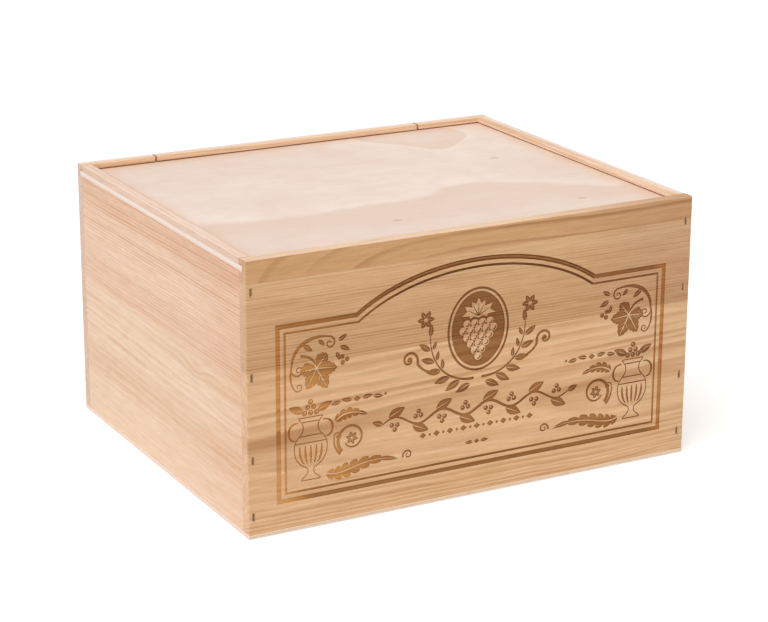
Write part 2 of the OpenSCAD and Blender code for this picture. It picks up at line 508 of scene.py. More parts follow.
@dataclass(frozen=True)
class Pine:
    """Solid pine whose yearly rings run through the board, round a pith beside it.

    Attributes:
        name: name of the finish.
        runs: the way that the grain runs.
        early: tone of the pale spring wood.
        late: tone of the dark summer wood.
        pith: height and depth of the pith at the case's centre, in millimetres.
        lean: how far the pith moves up and back for each millimetre along the grain.
        ring: thickness of a yearly ring, in millimetres.
        wander: how far the rings stray, in millimetres.
        stray: length over which they stray, in millimetres.
        bold: how strongly the summer wood shows, from 0 to 1.
        season: shares of a year at which the summer wood starts, is full and starts to end.
        crowd: height below which the rings crowd, and how much they do.
        bow: how strongly the log was curved.
        uneven: how much the years differ in width.
        swells: bulges of the rings.
        pale: tone of the paler streaks of the spring wood.
        paleness: how far the wood goes there, from 0 to 1.
        streaks: stretches that differ from the rest of the board.
        flush: tone that the spring wood turns to along its grain.
        fade: tone that the wood turns to from the middle of the box outwards.
        seed: number that sets this board's noise apart.
        toast: tone that keeps a tinted wood's rings warm.
        warmth: powers by which a shade darkens the red, the green and the blue.
        relief: height of the summer wood over the spring wood, in millimetres.
    """

    name: str
    runs: Axis
    early: str
    late: str
    pith: Spot
    lean: Spot = (0.0, 0.0)
    ring: float = 3.0
    wander: float = 2.0
    stray: float = 160.0
    bold: float = 0.8
    season: Point = (0.15, 0.78, 0.88)
    crowd: Spot = (0.0, 0.0)
    bow: float = 0.0
    uneven: float = 2.2
    swells: tuple[Swell, ...] = ()
    pale: str = "#F6DCC2"
    paleness: float = 0.3
    streaks: tuple[Streak, ...] = ()
    flush: Fade | None = None
    fade: Fade | None = None
    seed: float = 0.0
    toast: Tint = Tint("#C98F60", 0.3)
    warmth: Point = (0.85, 1.3, 1.9)
    relief: float = 0.05

    @property
    def node(self) -> str:
        """Name of the CAD node of the board that is made of this wood."""
        return self.name.replace("_wood", "_board")

    def tinted(self, part: str, tint: Tint, bold: float = 1.0, fade: Fade | None = None) -> Finish:
        """Gives the material of the same wood, tinted.

        Args:
            part: word that is added to the name.
            tint: what its tones turn to, and how far.
            bold: how much of the rings' strength stays.
            fade: how it pales towards the outside, if it does.

        Returns:
            The material, with its rings in the same places.
        """
        early = blended(self.early, tint.tone, tint.share)
        late = blended(self.late, blended(tint.tone, self.toast.tone, self.toast.share), tint.share)
        name = f"{self.name}_{part}"
        return replace(self, name=name, early=early, late=late, bold=self.bold * bold, fade=fade).make()

    def rings(self, coat: Coat, along: Amount, up: Amount, back: Amount) -> Amount:
        """Works out how much summer wood there is at a place.

        Args:
            coat: the finish that is being written.
            along: place along the grain.
            up: height.
            back: place across the board.

        Returns:
            The amount of summer wood, from 0 to about 1.
        """
        sway = coat.noise((along / self.stray, up / 40 + self.seed, back / 40), 3.0) - 0.5
        height = up - self.pith[0] + along * self.lean[0] + sway * (2 * self.wander)
        for swell in self.swells:
            height += swell.bulge(along, up)
        depth = back - self.pith[1] + along * self.lean[1] + along * along * self.bow + sway * self.wander
        years = height.span(depth) / self.ring
        below = ((up - self.crowd[0]) * -0.1).math("MAXIMUM", 0.0)
        years += below * below * self.crowd[1]
        years += coat.noise((years * 0.31, self.seed, 7.0), rough=0.6) * self.uneven
        season = years.math("FRACT")
        start, full, end = self.season
        late = season.ease(start, full) * season.ease(1.0, end)
        vigour = coat.chance(years, self.seed) * 0.6 + 0.4
        patch = coat.noise((along * 0.01, years * 0.7, self.seed + 3.0))
        return late * vigour * (patch.ease(0.3, 0.6) * 0.7 + 0.3)

    def colour(self, coat: Coat) -> tuple[bpy.types.NodeSocket, Amount]:
        """Writes the wood's colour.

        Args:
            coat: the finish that is being written.

        Returns:
            The colour, and the height of the surface's relief from 0 to 1.
        """
        x, y, up = coat.spot
        along, back = (x, y) if self.runs is Axis.X else (y, x)

        def grain(length: float, width: float, seed: float = 0.0, **how: float) -> Amount:
            """Gives noise that is drawn out along the grain."""
            return coat.noise((along * length, up * width + seed, back * width), **how)

        fibre = grain(0.045, 0.6, detail=3.0, rough=0.65)
        hair = grain(0.3, 3.6)
        cloud = grain(0.009, 0.04, self.seed)
        band = grain(0.006, 0.17, self.seed + 5.0, rough=0.55)
        late = self.rings(coat, along, up, back)
        early, amount = self.early, late * self.bold
        if self.flush:
            early = coat.mix(along.ease(self.flush.start, self.flush.end) * 0.85, early, self.flush.tone)
        early = coat.mix(band.ease(0.38, 0.62) * self.paleness, early, self.pale)
        for streak in self.streaks:
            within = up.ease(streak.low - streak.soft, streak.low + streak.soft)
            within *= up.ease(streak.high + streak.soft, streak.high - streak.soft)
            amount *= within * streak.rings + 1.0
            early = coat.mix(within * streak.shade, early, self.late)
        tone = coat.mix(amount, early, self.late)
        if self.fade:
            tone = coat.mix(back.math("ABSOLUTE").ease(self.fade.start, self.fade.end), tone, self.fade.tone)
        shade = fibre * 0.4 + hair * 0.14 + cloud * 0.12 + 0.68
        tone = coat.shaded(tone, *(shade.math("POWER", power) for power in self.warmth))
        pores = hair.ease(0.64, 0.76) * 0.3
        return coat.mix(pores, tone, self.late), (hair + late) * 0.5

    def make(self) -> Finish:
        """Makes the finish.

        Returns:
            The material.
        """
        coat = Coat(self.name)
        tone, height = self.colour(coat)
        coat.relief(height, self.relief)
        return coat.done(tone, 0.62)


@dataclass(frozen=True)
class Veneer:
    """Peeled face of a thin plywood sheet, whose rings show as broad wavy contours.

    Attributes:
        name: name of the finish.
        pale: tone of most of the sheet.
        dark: tone along the contours.
        blush: tone of the faint blotches.
        swells: bulges of the rings.
        knots: places of the pin knots along X and Y, in millimetres.
        start: place along Y where a contour lies, away from the swells.
        ring: distance between contours away from the swells, in millimetres.
        seed: number that sets this sheet's noise apart.
        stains: places where the sheet is darker, and by how much.
        half: half length and half width of what shows of the sheet, in millimetres.
        border: width of the border along the walls where painted shade and warm reflected light lie, in
            millimetres.
        knot: tone of the pin knots, and how strong they are.
        handled: tone of the painted shade and warm light reflected from the walls along the border, and how
            strong it is.
    """

    name: str
    pale: str
    dark: str
    blush: str
    swells: tuple[Swell, ...]
    knots: tuple[Spot, ...]
    start: float
    ring: float
    seed: float
    stains: tuple[Swell, ...] = ()
    half: Spot = (161.0, 133.0)
    border: float = 16.0
    knot: Tint = Tint("#9A8270", 0.4)
    handled: Tint = Tint("#E2B48C", 0.35)

    def make(self) -> Finish:
        """Makes the finish.

        Returns:
            The material.
        """
        coat = Coat(self.name)
        x, y, _ = coat.spot
        years = (y - self.start) / -self.ring
        for swell in self.swells:
            years += swell.bulge(x, y)
        years += (coat.noise((x * 0.016, y * 0.022, self.seed), 3.0) - 0.5) * 0.1
        season, third = years.math("FRACT"), (years * 3.0).math("FRACT")
        figure = season.ease(0.0, 0.035) * season.ease(0.75, 0.0) * 0.48
        figure += third.ease(0.0, 0.1) * third.ease(0.8, 0.1) * 0.1
        fibre = coat.noise((x * 0.025, y * 0.7, self.seed), 4.0, 0.6)
        cloud = coat.noise((x * 0.018, y * 0.03, 4.0), 3.0, 0.55)
        tone = coat.mix(cloud.ease(0.35, 0.65), self.pale, self.blush)
        tone = coat.mix(figure, tone, self.dark)
        for stain in self.stains:
            tone = coat.mix(stain.bulge(x, y), tone, self.dark)
        blotch = coat.noise((x * 0.045, y * 0.05, self.seed))
        tone = coat.mix(blotch.ease(0.42, 0.66) * 0.2, tone, self.dark)
        tone = coat.shaded(tone, fibre * 0.15 + season.ease(0.9, 0.995) * 0.025 + 0.905)
        for knot_x, knot_y in self.knots:
            off = ((x - knot_x) * 0.6).span(y - knot_y)
            tone = coat.mix(off.ease(3.0, 0.4) * self.knot.share, tone, self.knot.tone)
        # Painted shade and warm light reflected from the walls: the sheet turns to a tan tone along its
        # border.
        sides = [c.math("ABSOLUTE").ease(end - self.border, end) for c, end in zip((x, y), self.half)]
        bounce = sides[0].math("MAXIMUM", sides[1]) * self.handled.share
        tone = coat.mix(bounce, tone, self.handled.tone)
        coat.relief(fibre, 0.04)
        return coat.done(tone, 0.55)


@dataclass(frozen=True)
class PlyEdge:
    """Sawn edge of a plywood sheet, whose plies lie across each other.

    Attributes:
        name: name of the finish.
        base: height of the sheet's underside, in millimetres.
        thickness: thickness of the sheet, in millimetres.
        plies: number of plies.
        pale: tone of the upper ply.
        dark: tone of the plies that lie across it.
        foot: tone of the lowest ply.
    """

    name: str
    base: float
    thickness: float
    plies: int = 3
    pale: str = "#FFEEE2"
    dark: str = "#F6DDCB"
    foot: str = "#FFEEE2"

    def make(self) -> Finish:
        """Makes the finish.

        Returns:
            The material.
        """
        coat = Coat(self.name)
        x, y, z = coat.spot
        wave = coat.noise((x * 0.05, y * 0.05, 0.0), 1.0) - 0.5
        level = (z - self.base) * (self.plies / self.thickness) + wave * 0.3
        grit = coat.noise((x * 1.6, y * 1.6, z * 2.4), 3.0)
        stain = coat.noise((x * 0.09, y * 0.09, 3.0), 3.0, 0.6)
        tone = coat.mix(level.ease(0.8, 0.5), self.pale, self.foot)
        tone = coat.mix(level.math("PINGPONG", 1.0).ease(0.3, 0.7) * 0.7, tone, self.dark)
        tone = coat.mix(stain.ease(0.5, 0.75) * 0.5, tone, self.dark)
        coat.relief(grit, 0.1)
        return coat.done(coat.shaded(tone, grit * 0.2 + 0.88), 0.7)


@dataclass(frozen=True)
class Burn:
    """Scorch that tints the floor of the ornament.

    Attributes:
        name: word that is added to the wood's name.
        brown: tone that the wood is darkened by.
        golden: tone that it is darkened by where the burn is faint, at the lower left.
        tan: tone that it is darkened by at the far right.
        faint: tone that it is darkened by along the frame's lower left corner.
        gild: how much further right the golden tone reaches than on the left third.
    """

    name: str = "burnt"
    brown: str = "#BDA381"
    golden: str = "#EAD2A2"
    tan: str = "#D9BD94"
    faint: str = "#F0E3BD"
    gild: float = 0.0

    def make(self, wood: Pine) -> Finish:
        """Makes the finish.

        Args:
            wood: the wood that was burnt, whose rings still show.

        Returns:
            The material.
        """
        coat = Coat(f"{wood.name}_{self.name}")
        tone, height = replace(wood, bold=wood.bold * 1.2).colour(coat)
        x, y, z = coat.spot
        patch = coat.noise((x * 0.022, z * 0.035, 0.0))
        border = z.ease(29.5, 26.0) * x.ease(-140.0, -122.0)
        gilt = (z * 0.006 + x * 0.014 - self.gild + patch * 1.1).ease(0.15, -0.95) * (border * -0.85 + 1.0)
        scorch = coat.mix(gilt, self.brown, self.golden)
        scorch = coat.mix(x.ease(138.0, 146.0), scorch, self.tan)
        corner = z.ease(64.0, 46.0) * x.ease(-134.0, -146.0)
        scorch = coat.mix(corner * 0.85, scorch, self.faint)
        char = coat.noise((x * 0.3, z * 0.9, y * 0.9), 3.0, 0.6)
        medallion = x.span(z - 118.0).ease(34.0, 28.0)
        shade = char * 0.36 + patch * 0.16 - border * 0.1 - medallion * 0.12 + 0.72
        coat.relief(height + char * 0.6, 0.1)
        return coat.done(coat.mix(1.0, tone, coat.shaded(scorch, shade), "MULTIPLY"), 0.75, 0.2)


@dataclass(frozen=True)
class Torn:
    """Raw wood, torn or sawn across its grain."""

    name: str = "torn_wood"
    pale: str = "#E6C7A2"
    dark: str = "#A9794B"

    def make(self) -> Finish:
        """Makes the finish.

        Returns:
            The material.
        """
        coat = Coat(self.name)
        splinter = coat.noise((c * 1.4 for c in coat.spot), 4.0, 0.7)
        coat.relief(splinter, 0.25)
        return coat.done(coat.mix(splinter.ease(0.35, 0.65), self.dark, self.pale), 0.8)


@dataclass(frozen=True)
class Wire:
    """Dulled steel wire of a staple."""

    name: str = "staple_wire"
    bright: str = "#A67C56"
    dull: str = "#7A5434"

    def make(self) -> Finish:
        """Makes the finish.

        Returns:
            The material.
        """
        coat = Coat(self.name)
        bloom = coat.noise((c * 1.1 for c in coat.spot), 3.0, 0.6)
        tone = coat.mix(bloom.ease(0.35, 0.65), self.bright, self.dull)
        return coat.done(tone, bloom * 0.3 + 0.45, 0.15, Metallic=0.1)


# ------------------------------------------------------------------------------- ornament


def polar(centre: Spot, radius: float, angle: float) -> Spot:
    """Gives the point at a radius from a centre, at an angle in degrees from the right."""
    turn = math.radians(angle)
    return (centre[0] + radius * math.cos(turn), centre[1] + radius * math.sin(turn))


def shares(steps: int) -> list[float]:
    """Gives evenly spaced shares from 0 to 1."""
    return [i / steps for i in range(steps + 1)]


def arc(centre: Spot, radius: float, start: float, end: float, steps: int) -> Outline:
    """Gives points along an arc between two angles."""
    return [polar(centre, radius, start + (end - start) * i / steps) for i in range(steps + 1)]


def disc(centre: Spot, radius: float, steps: int = 18) -> Outline:
    """Gives the outline of a disc."""
    return arc(centre, radius, 0.0, 360.0, steps)[:-1]


def smoothed(points: Outline) -> Outline:
    """Cuts the corners off a line and keeps its ends.

    Args:
        points: the line's points.

    Returns:
        The smoother line's points.
    """
    cut = [points[0]]
    for (x0, y0), (x1, y1) in zip(points, points[1:]):
        cut.append((0.75 * x0 + 0.25 * x1, 0.75 * y0 + 0.25 * y1))
        cut.append((0.25 * x0 + 0.75 * x1, 0.25 * y0 + 0.75 * y1))
    return cut + [points[-1]]


def mirrored(side: Outline) -> Outline:
    """Gives the closed outline of a shape from its right side, which runs upwards."""
    return side + [(-x, y) for x, y in side[::-1]]


class Stem:
    """A curved line that strokes and leaves are drawn along. Sizes are in millimetres."""

    def __init__(self, points: Outline) -> None:
        """Takes the points that the line runs through."""
        self.points = points

    @classmethod
    def bend(cls, *knots: Spot, steps: int = 28) -> Stem:
        """Draws a curve.

        Args:
            knots: its first point, the points that it leaves and arrives by, and its last point.
            steps: number of stretches between points.

        Returns:
            The curve.
        """
        points = []
        for t in shares(steps):
            s = 1 - t
            weights = (s**3, 3 * s * s * t, 3 * s * t * t, t**3)
            points.append(tuple(sum(w * knot[axis] for w, knot in zip(weights, knots)) for axis in (0, 1)))
        return cls(points)

    @classmethod
    def curl(cls, eye: Spot, reach: float, end: float, start: float, turns: float, steps: int = 44) -> Stem:
        """Draws a spiral round its eye, from one radius to another, clockwise for turns below 0."""
        return cls([polar(eye, reach * (end / reach) ** t, start + 360 * turns * t) for t in shares(steps)])

    def at(self, share: float, off: float = 0.0) -> Spot:
        """Gives a point beside the line.

        Args:
            share: how far along the line it lies, from 0 to 1.
            off: how far it lies to the left of the line.

        Returns:
            The point.
        """
        last = len(self.points) - 1
        place = share * last
        i = min(int(place), last - 1)
        (x0, y0), (x1, y1) = self.points[i], self.points[i + 1]
        before, after = self.points[max(i - 1, 0)], self.points[min(i + 2, last)]
        dx, dy = after[0] - before[0], after[1] - before[1]
        length = math.hypot(dx, dy) or 1.0
        t = place - i
        return (x0 + (x1 - x0) * t - dy / length * off, y0 + (y1 - y0) * t + dx / length * off)

    def heading(self, share: float) -> float:
        """Gives the way that the line runs at a place, in degrees from the right."""
        (x0, y0), (x1, y1) = self.at(share - 0.02), self.at(share + 0.02)
        return math.degrees(math.atan2(y1 - y0, x1 - x0))

    def stroke(self, width: Callable[[float], float]) -> Outline:
        """Gives the closed outline of a band along the line, from its width for a share of the way."""
        halves = [(t, width(t) / 2) for t in shares(len(self.points) - 1)]
        return [self.at(t, half) for t, half in halves] + [self.at(t, -half) for t, half in halves[::-1]]

    def taper(self, start: float, end: float) -> Outline:
        """Gives the outline of a band whose width changes evenly."""
        return self.stroke(lambda t: start + (end - start) * t)

    def swell(self, most: float, least: float) -> Outline:
        """Gives the outline of a band that is broadest in its middle."""
        return self.stroke(lambda t: least + (most - least) * math.sin(math.pi * t) ** 0.8)

    def half_leaf(self, side: int, half: float, lobes: int, rib: float = 0.9) -> Outline:
        """Gives one half of a lobed leaf, without its rib.

        Args:
            side: 1 for the left half and -1 for the right one.
            half: greatest distance from the rib to a lobe's tip.
            lobes: number of lobes.
            rib: width of the rib at its foot.

        Returns:
            The closed outline.
        """

        def spread(t: float) -> float:
            """Gives how far the leaf reaches at a share of its length."""
            return half * (0.34 + 0.66 * math.sin(math.pi * t**0.75)) * (1 - 0.6 * t**4)

        lobe_shape = ((0.0, 0.5), (0.18, 0.8), (0.5, 1.0), (0.84, 0.98), (0.95, 0.82), (0.9, 0.62))
        outer = []
        for lobe in range(lobes):
            for step, reach in lobe_shape:
                place = 0.97 * (lobe + step) / lobes
                outer.append(self.at(place, side * reach * spread(place)))
        inner = [0.96 - 0.96 * i / 10 for i in range(11)]
        return outer + [self.at(1.0)] + [self.at(t, side * (0.1 + rib / 2 * (1 - t))) for t in inner]


@dataclass
class Ornament:
    """The burnt frame, medallion, garland and corner sprays of the front.

    Places are across from the middle and up from the underside, in millimetres.
    """

    surface: float
    finish: Finish
    char: Finish
    depth: float = 0.5
    deeper: float = 0.25
    clear: float = 0.6
    frame_half: float = 149.7
    frame_low: float = 20.7
    frame_high: float = 142.9
    arch_half: Spot = (119.3, 69.4)
    arch_centre: float = 98.4
    band: float = 3.1
    line_inset: float = 5.8
    line: float = 1.5
    char_width: float = 1.0
    medallion: Spot = (0.0, 118.0)
    medallion_half: Spot = (20.5, 26.0)
    chisels: Chisels = field(default_factory=Chisels)

    def prism(self, *outlines: Outline, charred: bool = False) -> Piece:
        """Makes a cutter that stands through the surface.

        Args:
            outlines: its outline, and those of holes in it.
            charred: whether it cuts deeper and leaves a darker floor.

        Returns:
            The cutter.
        """
        curve = bpy.data.curves.new("cutter", "CURVE")
        curve.dimensions = "2D"
        curve.fill_mode = "BOTH"
        for outline in outlines:
            spline = curve.splines.new("POLY")
            spline.points.add(len(outline) - 1)
            spline.use_cyclic_u = True
            for knot, (x, y) in zip(spline.points, outline):
                knot.co = (x * MM, y * MM, 0.0, 1.0)
        sketch = bpy.data.objects.new("cutter", curve)
        bpy.context.scene.collection.objects.link(sketch)
        take_up(sketch)
        bpy.ops.object.convert(target="MESH")
        cutter = bpy.context.active_object
        outside = Matrix.Translation((0.0, (self.surface - self.clear) * MM, 0.0))
        cutter.data.transform(outside @ Matrix.Rotation(math.radians(90), 4, "X"))
        depth = self.depth + (self.deeper if charred else 0.0)
        push = (0.0, (self.clear + depth) * MM, 0.0)
        with editing(cutter, "SELECT"):
            bpy.ops.mesh.remove_doubles(threshold=0.001 * MM)
            bpy.ops.mesh.extrude_region_move(TRANSFORM_OT_translate={"value": push})
            bpy.ops.mesh.select_all(action="SELECT")
            bpy.ops.mesh.normals_make_consistent(inside=False)
        paint(cutter, self.char if charred else self.finish)
        return cutter

    def cut_through(self, *outlines: Outline, charred: bool = False) -> None:
        """Sets a single cutter into the ornament."""
        self.chisels.add(self.prism(*outlines, charred=charred))

    def stamp(
        self, motif: Piece, place: Spot, turn: float = 0.0, size: float = 1.0, sides: Iterable[int] = (1,)
    ) -> None:
        """Sets copies of a motif into the ornament.

        Args:
            motif: a cutter that was made round the point 0, 0.
            place: where that point goes.
            turn: how far it is turned to the left, in degrees.
            size: its size against the motif's own.
            sides: 1 for a copy in place, and -1 for one that is mirrored into the other half.
        """
        shape = Matrix.Rotation(math.radians(-turn), 4, "Y") @ Matrix.Diagonal((size, 1.0, size, 1.0))
        shape = Matrix.Translation((place[0] * MM, 0.0, place[1] * MM)) @ shape
        for side in sides:
            copy = motif.copy()
            copy.data = motif.data.copy()
            copy.data.transform(Matrix.Diagonal((side, 1.0, 1.0, 1.0)) @ shape)
            if side < 0:
                copy.data.flip_normals()
            self.chisels.add(copy)

    def stamp_pair(self, motif: Piece, place: Spot, turn: float = 0.0, size: float = 1.0) -> None:
        """Sets a motif into the right half and mirrored into the left one."""
        self.stamp(motif, place, turn, size, (1, -1))

    def stamp_petals(self, petal: Piece, centre: Spot, radius: float, first: int, *sides: int) -> None:
        """Sets six petals round a centre, the first of them at an angle in degrees."""
        for turn in range(first, first + 360, 60):
            self.stamp(petal, polar(centre, radius, turn), turn, sides=sides)

    def draw_pair(self, *outlines: Outline) -> None:
        """Sets outlines into the right half and mirrored into the left one.

        Args:
            outlines: closed outlines in the right half.
        """
        for outline in outlines:
            cutter = self.prism(outline)
            self.stamp_pair(cutter, (0.0, 0.0))
            discard(cutter)

    def carve(self, outline: Outline, islands: Iterable[Outline]) -> Piece:
        """Makes a cutter in which some islands are left standing.

        Args:
            outline: its outline.
            islands: outlines of what stays uncut, which may cross its edge.

        Returns:
            The cutter.
        """
        ground = self.prism(outline)
        standing = Chisels()
        standing.add(*(self.prism(island) for island in islands))
        standing.cut(ground)
        return ground

    def arch(self, inset: float) -> Outline:
        """Gives the points of the frame's arch, from right to left.

        Args:
            inset: how far it lies inside the outermost arch.

        Returns:
            The points, from one shoulder to the other.
        """
        across, rise = self.arch_half[0] - inset, self.arch_half[1] - inset
        spring = math.asin((self.frame_high - inset - self.arch_centre) / rise)
        turns = [spring + (math.pi - 2 * spring) * i / 72 for i in range(73)]
        return [(across * math.cos(t), self.arch_centre + rise * math.sin(t)) for t in turns]

    def frame_outline(self, inset: float) -> Outline:
        """Gives the outline of the arched frame.

        Args:
            inset: how far it lies inside the outermost one.

        Returns:
            The closed outline.
        """
        half = self.frame_half - inset
        low, high = self.frame_low + inset, self.frame_high - inset
        return [(-half, low), (half, low), (half, high), *self.arch(inset), (-half, high)]

    def cut_frame(self) -> None:
        """Cuts the broad band and the thin line inside it, and chars their upper edges."""
        for inset, width in ((0.0, self.band), (self.line_inset, self.line)):
            self.cut_through(self.frame_outline(inset), self.frame_outline(inset + width))
        edge = 0.42 * self.char_width
        line_middle = self.line_inset + self.line / 2
        for inset, width in (
            (edge, self.char_width), (self.band - edge, self.char_width), (line_middle, self.line + 0.16)
        ):
            over = self.arch(inset)[::-1]
            start = self.frame_half - inset
            run = start + over[0][0]
            level = [(-start + run * i / 20, over[0][1]) for i in range(20)]
            self.cut_through(Stem(level + over).taper(width, width), charred=True)

    def leaf(self, length: float, width: float, rib: float = 0.5) -> Piece:
        """Makes a pointed leaf that lies along +X from 0, with its rib left standing.

        Args:
            length: its length.
            width: its width.
            rib: width of the rib at its foot.

        Returns:
            The cutter.
        """
        stem = Stem([(length * t, 0.0) for t in shares(16)])
        halves = []
        for side in (1, -1):
            outer = [
                stem.at(t, side * width / 2 * math.sin(math.pi * t**0.8) ** 0.9) for t in shares(16)
            ]
            inner = [stem.at(1 - i / 8, side * (0.03 + rib / 2 * i / 8)) for i in range(1, 8)]
            halves.append(self.prism(outer + inner))
        take_up(*halves)
        bpy.ops.object.join()
        return halves[0]

    def vine_leaf(self, reach: float) -> Piece:
        """Makes a five-lobed vine leaf whose stalk is at 0 and whose veins are left standing.

        Args:
            reach: distance from the stalk to the tip.

        Returns:
            The cutter.
        """
        stalk = (0.0, 0.0)
        lobes = ((0.0, 1.0), (57.0, 0.92), (114.0, 0.74))
        dips = ((29.0, 0.6), (88.0, 0.52), (152.0, 0.52))
        half = []
        for i, (tip, far) in enumerate(lobes):
            flanks = ((dips[i - 1], range(4, 0, -1)), (dips[i], range(5)))
            for (dip, close), steps in flanks if i else flanks[1:]:
                for step in steps:
                    share = step / 5
                    edge = close + (far - close) * (1 - share) ** 1.15
                    half.append((tip + (dip - tip) * share, edge + (0.05 if step in (2, 4) else 0.0)))
            half.append(dips[i])
        half.append((171.0, 0.2))
        rim = [polar(stalk, reach * far, angle) for angle, far in half]
        rim += [polar(stalk, reach * far, -angle) for angle, far in half[:0:-1]]
        veins = [Stem([(-0.2 * reach, 0.0), (0.9 * reach, 0.0)]).taper(1.1, 0.35)]
        for tip, far in lobes[1:]:
            upper = tip < 90
            for side in (1, -1):
                end = polar(stalk, reach * far * 0.88, side * tip)
                veins.append(Stem([stalk, end]).taper(0.9, 0.35))
                for share in (0.35, 0.6):
                    root = (share * reach * 0.9, 0.0) if upper else (share * end[0], share * end[1])
                    tail = polar(root, reach * 0.3 * (1.25 - share), side * (38.0 if upper else 76.0))
                    veins.append(Stem([root, tail]).taper(0.5, 0.25))
        return self.carve(rim, veins)

    def bunch(self, middle: Spot, rows: Iterable[tuple[int, float]], pitch: float) -> list[Spot]:
        """Gives the middles of the berries of a bunch, whose rows are each a number and a height."""
        spots = [((i - (count - 1) / 2) * pitch, height) for count, height in rows for i in range(count)]
        return [(middle[0] + x, middle[1] + y) for x, y in spots]

    def cut_medallion(self, berry: float = 2.75) -> None:
        """Cuts an oval whose bunch of grapes and leaf are left standing.

        Args:
            berry: radius of a berry.
        """
        centre_x, centre_y = self.medallion
        half_x, half_y = self.medallion_half

        def oval(grow: float) -> Outline:
            """Gives the oval, grown all round."""
            ring = disc((0.0, 0.0), 1.0, 80)
            return [(centre_x + x * (half_x + grow), centre_y + y * (half_y + grow)) for x, y in ring]

        rows = ((4, 4.4), (5, -0.3), (4, -5.0), (3, -9.7), (2, -14.4), (1, -19.1))
        berries = self.bunch(self.medallion, rows, 5.9)
        lobes = [
            (0.0, 21.5), (2.0, 17.6), (5.2, 19.2), (4.8, 15.4), (10.6, 16.8), (8.8, 12.8), (13.0, 10.0),
            (7.2, 9.6), (6.4, 7.8), (3.2, 9.0), (0.0, 7.6),
        ]
        crown = lobes + [(-x, y) for x, y in lobes[-2:0:-1]]
        islands = [disc(spot, berry) for spot in berries]
        islands.append([(centre_x + x, centre_y + y) for x, y in crown])
        self.chisels.add(self.carve(oval(0.0), islands))
        self.cut_through(oval(3.2), oval(1.6))
        root = (centre_x, centre_y + 9.2)
        for tip in (28.0, 60.0, 90.0, 120.0, 152.0):
            self.cut_through(Stem([root, polar(root, 8.6, tip)]).taper(0.8, 0.3))
        moon = self.prism(arc((0.0, 0.0), 2.1, 250, 380, 10) + arc((-0.5, 0.35), 1.7, 370, 260, 10))
        for spot in berries:
            self.stamp(moon, spot)
        discard(moon)

    def cut_wreath(self) -> None:
        """Cuts the two leafy branches that hold the medallion, and their scrolls."""
        stem = Stem.bend((3.0, 84.0), (22.0, 83.0), (37.0, 97.0), (36.5, 118.0), steps=32)
        self.draw_pair(stem.taper(1.9, 0.6))
        leaf = self.leaf(12.5, 5.4)
        for i, share in enumerate((0.2, 0.36, 0.52, 0.68, 0.84)):
            ahead = stem.heading(share)
            size = 1.05 - 0.3 * share
            self.stamp_pair(leaf, stem.at(share, -1.1), ahead - 44, size)
            if i > 1:
                self.stamp_pair(leaf, stem.at(share, 1.1), ahead + 40, size * 0.62)
        self.stamp_pair(leaf, stem.at(1.0), 96, 0.7)
        self.stamp_pair(leaf, (6.0, 80.5), -24, 0.95)
        discard(leaf)
        eye = (52.5, 104.0)
        self.draw_pair(
            Stem.curl(eye, 7.0, 1.3, 205, -1.4).taper(2.0, 0.9),
            Stem.bend((31.0, 92.5), (37.0, 93.0), (43.0, 95.0), (46.2, 101.0)).taper(1.2, 1.9),
        )
        self.draw_pair(disc(eye, 1.5))

    def cut_garland(self, half_wave: float = 18.0, count: int = 8, height: float = 62.5) -> None:
        """Cuts a waving vine with a leaf and three berries in each bow.

        Args:
            half_wave: length of a bow.
            count: number of bows.
            height: height of the vine's middle.
        """
        swing = 3.6
        leaf = self.leaf(14.0, 7.2, 0.8)
        berry = self.prism(disc((0.0, 0.0), 1.75, 14), disc((-0.5, 0.5), 0.6, 8))
        vine = []
        for i in range(count * 12 + 1):
            vine.append(((i / 12 - count / 2) * half_wave, height + swing * math.sin(math.pi * i / 12)))
        self.cut_through(Stem(vine).swell(2.0, 0.9))
        for i in range(count):
            middle = (i + 0.5 - count / 2) * half_wave
            up = 1 if i % 2 == 0 else -1
            self.stamp(leaf, (middle - 4.5, height + up * (swing + 0.6)), up * 24, 0.95)
            for dx, dy in ((-2.2, 0.0), (1.9, 0.3), (0.0, 3.4)):
                self.stamp(berry, (middle + dx, height - up * (1.6 + dy)))
        for way, turn in ((1, 20), (-1, 160)):
            self.stamp(leaf, (way * count * half_wave / 2, height), turn, 0.6)
        discard(leaf, berry)

    def cut_beads(self) -> None:
        """Cuts the row of lozenges and beads under the garland, the small sprigs and the flowers."""
        lozenge = self.prism([(-2.7, 0.0), (0.0, -2.1), (2.7, 0.0), (0.0, 2.1)])
        bead = self.prism(disc((0.0, 0.0), 0.95, 12))
        leaf = self.leaf(7.5, 3.2, 0.4)
        petal = self.leaf(5.4, 3.6, 0.3)
        for i in range(-8, 9):
            self.stamp(bead if i % 2 else lozenge, (i * 5.2, 49.5))
        self.stamp(lozenge, (0.0, 38.5), 0.0, 0.8)
        for side, turn in ((1, 0.0), (-1, 180.0)):
            self.stamp(leaf, (side * 3.0, 38.5), turn, 0.8)
            for middle in (-91.0, 91.0):
                self.stamp(leaf, (middle + side * 4.0, 84.0), turn + side * 8)
                self.stamp(leaf, (middle + side * 12.0, 84.0), turn - side * 8)
                self.stamp(bead, (middle + side * 21.0, 84.0))
        for middle in (-91.0, 91.0):
            self.stamp(lozenge, (middle, 84.0))
        for middle in (-40.0, 40.0):
            self.stamp_petals(petal, (middle, 130.0), 1.1, 0, 1)
        discard(lozenge, bead, leaf, petal)

